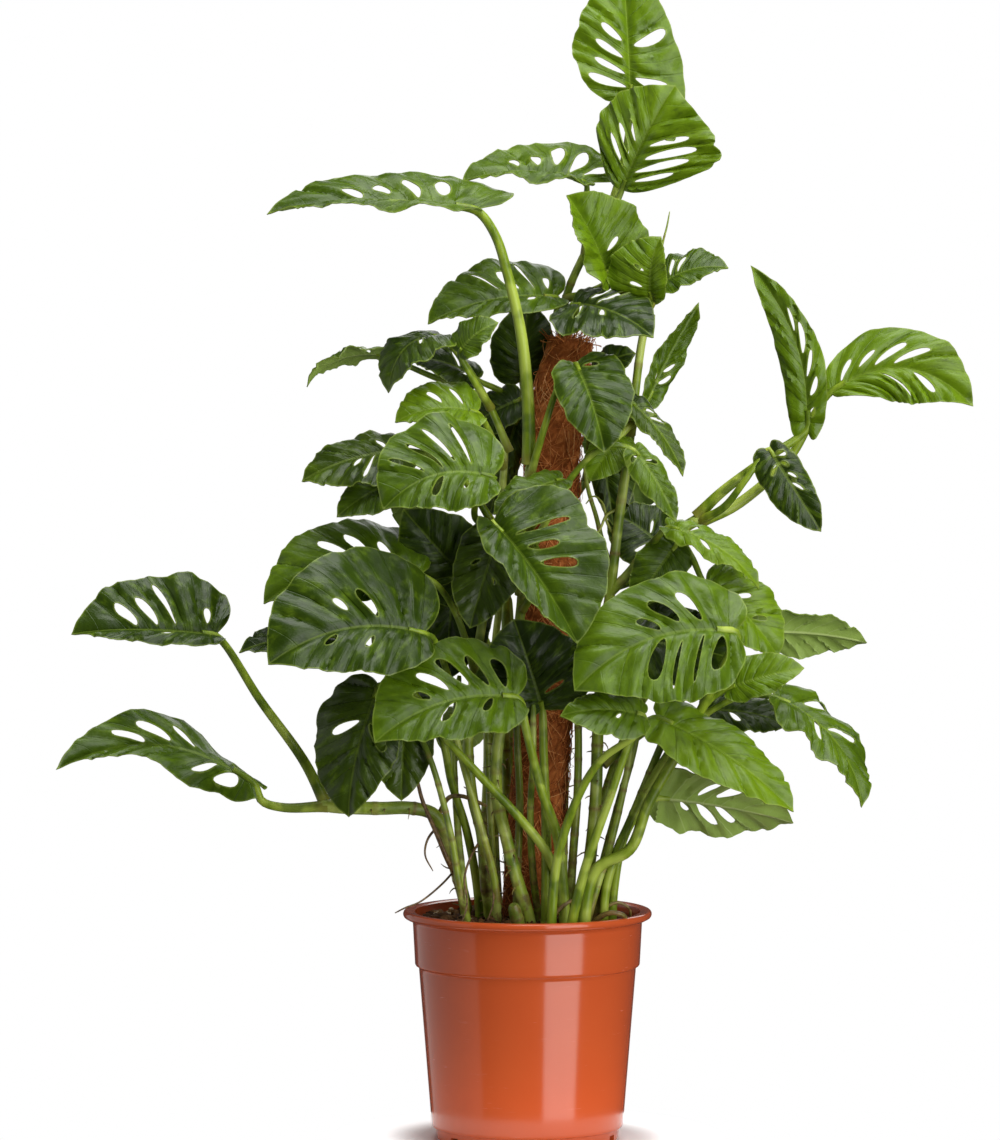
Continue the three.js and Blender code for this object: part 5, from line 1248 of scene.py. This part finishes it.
def build_pot():
    """The pot: its section spun round, with a rolled rim, a stepped collar and drain slots."""
    size = bpy.context.scene.vine_pot
    top, lip, collar = size.height / MM, size.rim_radius / MM, size.rim_radius / MM - 7.4
    body_top, body_bottom, foot = collar - 4.6, collar - 14.4, collar - 18.2
    wall, floor_at, collar_low, foot_top = 2.0, 3.4, 134.0, 9.0
    rolled = [(lip - 2.4 + 2.4 * math.sin(turn), top - 3.4 + 2.9 * math.cos(turn))
              for turn in np.linspace(math.pi * 0.95, -0.1, 12)]
    section = [
        (0, 0.6), (foot - 8, 0.6), (foot - 6, 0), (foot - 0.8, 0), (foot, 0.8),
        (foot + 0.8, foot_top - 0.6), (foot + 1.4, foot_top), (body_bottom - 0.5, foot_top + 0.5),
        (body_bottom, foot_top + 1.4), (body_bottom + 0.1, foot_top + 2.7),
        (body_top - 0.2, collar_low - 4.3), (body_top - 0.1, collar_low - 3),
        (body_top + 0.5, collar_low - 1.6), (collar - 2.2, collar_low - 0.6),
        (collar - 1.7, collar_low + 0.4), (collar - 1.64, collar_low + 1.6),
        (collar - 0.06, top - 10.2), (collar, top - 9), (collar + 0.8, top - 7.6),
        (lip - 3.2, top - 7.0), *rolled, (collar + 1, top - 0.7), (collar - wall + 0.6, top - 1.4),
        (collar - wall, top - 5), (body_top - wall + 1, collar_low + 2), (body_top - wall, collar_low),
        (body_bottom - wall, foot_top + 5), (foot - wall - 2, floor_at), (0, floor_at)]
    places = [(radius * MM, 0, z * MM) for radius, z in section]
    mesh = bpy.data.meshes.new("pot_section")
    mesh.from_pydata(places, [(k, k + 1) for k in range(len(places) - 1)], [])
    piece = bpy.data.objects.new("nursery_pot", mesh)
    bpy.context.scene.collection.objects.link(piece)
    mesh.materials.append(material(pot_plastic))
    select(piece)
    bpy.ops.object.mode_set(mode="EDIT")
    bpy.ops.mesh.select_all(action="SELECT")
    bpy.ops.mesh.spin(steps=size.segments, angle=2 * math.pi, center=(0, 0, 0), axis=(0, 0, 1))
    bpy.ops.mesh.select_all(action="SELECT")
    bpy.ops.mesh.remove_doubles(threshold=0.00002)
    bpy.ops.object.mode_set(mode="OBJECT")
    point_faces_out(piece)
    cutters = []
    for k in range(SLOTS):
        turn = 2 * math.pi * (k + SLOT_TURN) / SLOTS
        where = (math.cos(turn) * (foot + 1) * MM, math.sin(turn) * (foot + 1) * MM, 0.0005)
        deselect()
        bpy.ops.mesh.primitive_cube_add(size=1, location=where, rotation=(0, 0, turn),
                                        scale=SLOT_SIZE)
        cutters.append(bpy.context.active_object)
    cutter = join("slot_cutter", cutters)
    apply_modifier(piece, "BOOLEAN", operation="DIFFERENCE", object=cutter, solver="EXACT")
    bpy.data.objects.remove(cutter)
    smooth(piece, degrees=32)
    place_on_frame(piece, "pot", "pot")


def soil_height(x, y):
    """How high the soil stands, in millimetres: the solid's own mound, and small lumps."""
    mound = SOIL_TOP + MOUND_RISE * np.clip(1 - np.hypot(x, y) / MOUND_RADIUS, 0, 1)
    broad = 1.8 * np.sin(x * 0.31 + 1) * np.cos(y * 0.27) + 1.2 * np.sin(x * 0.11 - y * 0.17)
    small = 0.9 * np.sin(x * 0.9 + 2 * np.sin(y * 0.7)) * np.cos(y * 1.1 + np.sin(x * 0.5))
    return mound + 0.6 * broad + small


def build_soil():
    """The soil: a rough mound with crumbs, bark and a few pale grains on it."""
    look = bpy.context.scene.vine_pot
    draw = random.Random(SOIL_SEED)
    rings, sides = SOIL_RINGS, SOIL_SIDES
    vertices = [(0.0, 0.0, float(soil_height(0.0, 0.0)))]
    for ring in range(1, rings + 1):
        radius = SOIL_RADIUS * ring / rings
        for k in range(sides):
            turn = 2 * math.pi * (k + 0.5 * (ring % 2)) / sides
            x = radius * math.cos(turn) + (draw.uniform(-0.5, 0.5) if ring < rings else 0)
            y = radius * math.sin(turn) + (draw.uniform(-0.5, 0.5) if ring < rings else 0)
            vertices.append((x, y, float(soil_height(x, y)) + draw.uniform(-0.7, 0.7)))
    for radius, z in SOIL_SKIRT:
        for k in range(sides):
            turn = 2 * math.pi * (k + 0.5 * (rings % 2)) / sides
            vertices.append((radius * math.cos(turn), radius * math.sin(turn), z))
    faces = [(0, 1 + k, 1 + (k + 1) % sides) for k in range(sides)]
    firsts = range(1, len(vertices), sides)
    for low, high in zip(firsts, firsts[1:]):
        for k in range(sides):
            faces.append((low + k, high + k, high + (k + 1) % sides, low + (k + 1) % sides))
    faces.append(tuple(reversed(range(firsts[-1], firsts[-1] + sides))))
    grade = [draw.uniform(0.1, 0.5) for _ in vertices]
    bed = mesh_piece("soil_bed", np.array(vertices) * MM, faces, [material(soil_crumb)],
                     values={"grade": grade})
    point_faces_out(bed)
    deselect()
    bpy.ops.mesh.primitive_ico_sphere_add(subdivisions=1, radius=1.0)
    pebble = bpy.context.active_object
    shape = [vertex.co.copy() for vertex in pebble.data.vertices]
    sides_of = [tuple(polygon.vertices) for polygon in pebble.data.polygons]
    bpy.data.objects.remove(pebble)
    crumbs, grades = [], []
    for _ in range(look.crumbs):
        radius = CRUMB_REACH * math.sqrt(draw.random())
        turn = draw.uniform(0, 2 * math.pi)
        x, y = radius * math.cos(turn), radius * math.sin(turn)
        kind = draw.random()
        long = draw.uniform(0.7, 2.0) if kind < BARK_FROM else draw.uniform(2.5, 6.0)
        spin = (Matrix.Rotation(draw.uniform(0, math.pi), 3, "Z")
                @ Matrix.Rotation(draw.uniform(-0.6, 0.6), 3, "X"))
        stretch = Vector((long, long * draw.uniform(0.4, 0.8), long * draw.uniform(0.3, 0.7)))
        middle = Vector((x, y, float(soil_height(x, y)) + stretch.z * 0.4))
        corners = []
        for corner in shape:
            rough = corner * draw.uniform(0.8, 1.15)
            corners.append(tuple(middle + spin @ Vector([a * b for a, b in zip(rough, stretch)])))
        crumbs.append((corners, sides_of))
        shade = draw.uniform(1.15, 1.3) if kind > PALE_FROM else draw.uniform(0.1, 0.9)
        grades += [shade] * len(shape)
    vertices, faces = gather(crumbs)
    loose = mesh_piece("soil_crumbs", vertices * MM, faces, [material(soil_crumb)],
                       values={"grade": grades})
    piece = join("potting_soil", [bed, loose])
    smooth(piece, degrees=40)
    place_on_frame(piece, "soil", "soil")


# ---------------------------------------------------------------- stage

CAMERA_PLACE = (-0.021, -4.5, 0.695)
CAMERA_DIP = math.radians(3.294)
CAMERA_LENS = 186.5
CAMERA_SENSOR = 36
FLOOR_RADIUS = 0.15


def aim(light, place, target):
    """Puts a light at a place and points it at a target."""
    light.location = place
    way = Vector(target) - Vector(place)
    light.rotation_euler = way.to_track_quat("-Z", "Y").to_euler()


def soft_box(name, place, target, width, height, power):
    """A rectangular studio light that the camera doesn't see."""
    data = bpy.data.lights.new(name, "AREA")
    data.shape = "RECTANGLE"
    data.size, data.size_y = width, height
    data.energy = power
    light = bpy.data.objects.new(name, data)
    bpy.context.scene.collection.objects.link(light)
    aim(light, place, target)
    light.visible_camera = False


def build_stage():
    """Camera, floor, sky and soft boxes."""
    look = bpy.context.scene.vine_stage
    scene = bpy.context.scene
    data = bpy.data.cameras.new("camera")
    data.lens, data.sensor_width, data.sensor_fit = CAMERA_LENS, CAMERA_SENSOR, "AUTO"
    camera = bpy.data.objects.new("camera", data)
    camera.location = CAMERA_PLACE
    camera.rotation_euler = (math.pi / 2 - CAMERA_DIP, 0, 0)
    scene.collection.objects.link(camera)
    scene.camera = camera

    deselect()
    bpy.ops.mesh.primitive_circle_add(vertices=96, radius=FLOOR_RADIUS, fill_type="NGON")
    floor = bpy.context.active_object
    floor.name = "studio_floor"
    floor.data.materials.append(material(floor_paper))

    # The camera sees a white sky, and the plant is lit by a dim one.
    world = bpy.data.worlds.new("studio")
    scene.world = world
    world.use_nodes = True
    nodes, links = world.node_tree.nodes, world.node_tree.links
    nodes.clear()
    rays = nodes.new("ShaderNodeLightPath")
    strength = nodes.new("ShaderNodeMapRange")
    strength.inputs["To Min"].default_value = look.fill
    strength.inputs["To Max"].default_value = 1.0
    sky = nodes.new("ShaderNodeBackground")
    output = nodes.new("ShaderNodeOutputWorld")
    sky.inputs["Color"].default_value = (1, 1, 1, 1)
    links.new(rays.outputs["Is Camera Ray"], strength.inputs["Value"])
    links.new(strength.outputs["Result"], sky.inputs["Strength"])
    links.new(sky.outputs["Background"], output.inputs["Surface"])

    soft_box("key_right", (1.52, -1.98, 0.7), (0, 0, 0.7), 1.77, 3.2, look.key)
    soft_box("fill_left", (-1.9, 0.9, 0.4), (0, 0.9, 0.4), 4.6, 2.8, look.key * 0.32)
    soft_box("top", (0.3, -0.5, 2.4), (0, 0, 0.45), 1.8, 1.8, look.top)
    soft_box("back", (0.6, 2.4, 1.9), (0, 0, 0.45), 2.0, 1.6, look.key * 0.3)
    scene.view_settings.view_transform = "Standard"


# ---------------------------------------------------------------- settings

class PotSettings(bpy.types.PropertyGroup):
    """Size and finish of the pot and its soil."""

    height: FloatProperty(name="Height", description="Height of the pot", default=0.176,
                          min=0.05, unit="LENGTH")
    rim_radius: FloatProperty(name="Rim radius", description="Outer radius of the rolled rim",
                              default=0.0952, min=0.03, unit="LENGTH")
    segments: IntProperty(name="Segments", description="Faces round the pot", default=144, min=24)
    colour: FloatVectorProperty(name="Colour", description="Colour of the plastic", subtype="COLOR",
                                size=4, default=srgb(212, 96, 48), min=0, max=1)
    roughness: FloatProperty(name="Roughness", description="How blurred its reflections are",
                             default=0.15, min=0, max=1, subtype="FACTOR")
    crumbs: IntProperty(name="Crumbs", description="Loose crumbs on the soil", default=2400, min=0)


class LeafSettings(bpy.types.PropertyGroup):
    """Form of all blades."""

    thickness: FloatProperty(name="Thickness", description="Thickness of a blade", default=0.0008,
                             min=0.0001, unit="LENGTH")
    quilt: FloatProperty(name="Quilting", description="How far a blade rises between its veins",
                         default=0.003, min=0, unit="LENGTH")
    mesh_step: FloatProperty(name="Mesh step", description="Edge length of a blade's mesh",
                             default=0.0028, min=0.001, unit="LENGTH")


class StemSettings(bpy.types.PropertyGroup):
    """Small roots on the vines."""

    rootlets: IntProperty(name="Rootlets", description="Short roots on each vine", default=26, min=1)


class PoleSettings(bpy.types.PropertyGroup):
    """Loose fibre on the pole."""

    fibres: IntProperty(name="Fibres", description="Loose fibres on the sleeve", default=2400, min=0)
    tuft: IntProperty(name="Tuft", description="Fibres in the ragged top", default=220, min=0)


class StageSettings(bpy.types.PropertyGroup):
    """Studio light."""

    key: FloatProperty(name="Key light", description="Power of the key soft box", default=64,
                       min=0, unit="POWER")
    top: FloatProperty(name="Top light", description="Power of the overhead soft box", default=50,
                       min=0, unit="POWER")
    fill: FloatProperty(name="Fill", description="Strength of the light from all round", default=0.05,
                        min=0)


GROUPS = {"vine_pot": PotSettings, "vine_leaves": LeafSettings, "vine_stems": StemSettings,
          "vine_pole": PoleSettings, "vine_stage": StageSettings}


# ---------------------------------------------------------------- operators

class VINE_OT_stage(bpy.types.Operator):
    """Add the camera, floor and soft boxes"""

    bl_idname = "vine.stage"
    bl_label = "Stage"

    def execute(self, context):
        build_stage()
        return {"FINISHED"}


class VINE_OT_pot(bpy.types.Operator):
    """Model the pot over its solid"""

    bl_idname = "vine.pot"
    bl_label = "Pot"

    def execute(self, context):
        build_pot()
        return {"FINISHED"}


class VINE_OT_soil(bpy.types.Operator):
    """Model the soil over its solid"""

    bl_idname = "vine.soil"
    bl_label = "Soil"

    def execute(self, context):
        build_soil()
        return {"FINISHED"}


class VINE_OT_pole(bpy.types.Operator):
    """Model the coir sleeve over its solid, and finish the stake"""

    bl_idname = "vine.pole"
    bl_label = "Pole"

    def execute(self, context):
        build_coir()
        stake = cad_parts["pole_stake"]
        stake.data.materials.clear()
        stake.data.materials.append(material(stake_wood))
        return {"FINISHED"}


class VINE_OT_stems(bpy.types.Operator):
    """Model the vines over their solids"""

    bl_idname = "vine.stems"
    bl_label = "Vines"

    def execute(self, context):
        for index, name in enumerate(VINES):
            build_vine(name, index)
        return {"FINISHED"}


class VINE_OT_foliage(bpy.types.Operator):
    """Model the leaves over their solids"""

    bl_idname = "vine.foliage"
    bl_label = "Leaves"

    def execute(self, context):
        for row in LEAVES:
            if row["joins"] is None:
                build_leaf(row, [other for other in LEAVES if other["joins"] == row["name"]])
        return {"FINISHED"}


STEPS = (VINE_OT_stage, VINE_OT_pot, VINE_OT_soil, VINE_OT_pole, VINE_OT_stems, VINE_OT_foliage)


class VINE_PT_panel(bpy.types.Panel):
    """Sizes, finishes and steps of the vine"""

    bl_label = "Swiss-Cheese Vine"
    bl_idname = "VINE_PT_panel"
    bl_space_type = "VIEW_3D"
    bl_region_type = "UI"
    bl_category = "Vine"

    def draw(self, context):
        for group in GROUPS:
            settings = getattr(context.scene, group)
            box = self.layout.box()
            for name in settings.__annotations__:
                box.prop(settings, name)
        for step in STEPS:
            self.layout.operator(step.bl_idname)


def register():
    for settings in GROUPS.values():
        bpy.utils.register_class(settings)
    for name, settings in GROUPS.items():
        setattr(bpy.types.Scene, name, PointerProperty(type=settings))
    for part in (*STEPS, VINE_PT_panel):
        bpy.utils.register_class(part)


def unregister():
    for part in reversed((*STEPS, VINE_PT_panel)):
        bpy.utils.unregister_class(part)
    for name in GROUPS:
        delattr(bpy.types.Scene, name)
    for settings in reversed(tuple(GROUPS.values())):
        bpy.utils.unregister_class(settings)


def main():
    register()
    for step in STEPS:
        group, name = step.bl_idname.split(".")
        getattr(getattr(bpy.ops, group), name)()
    bpy.context.view_layer.update()


if __name__ == "__main__":
    main()
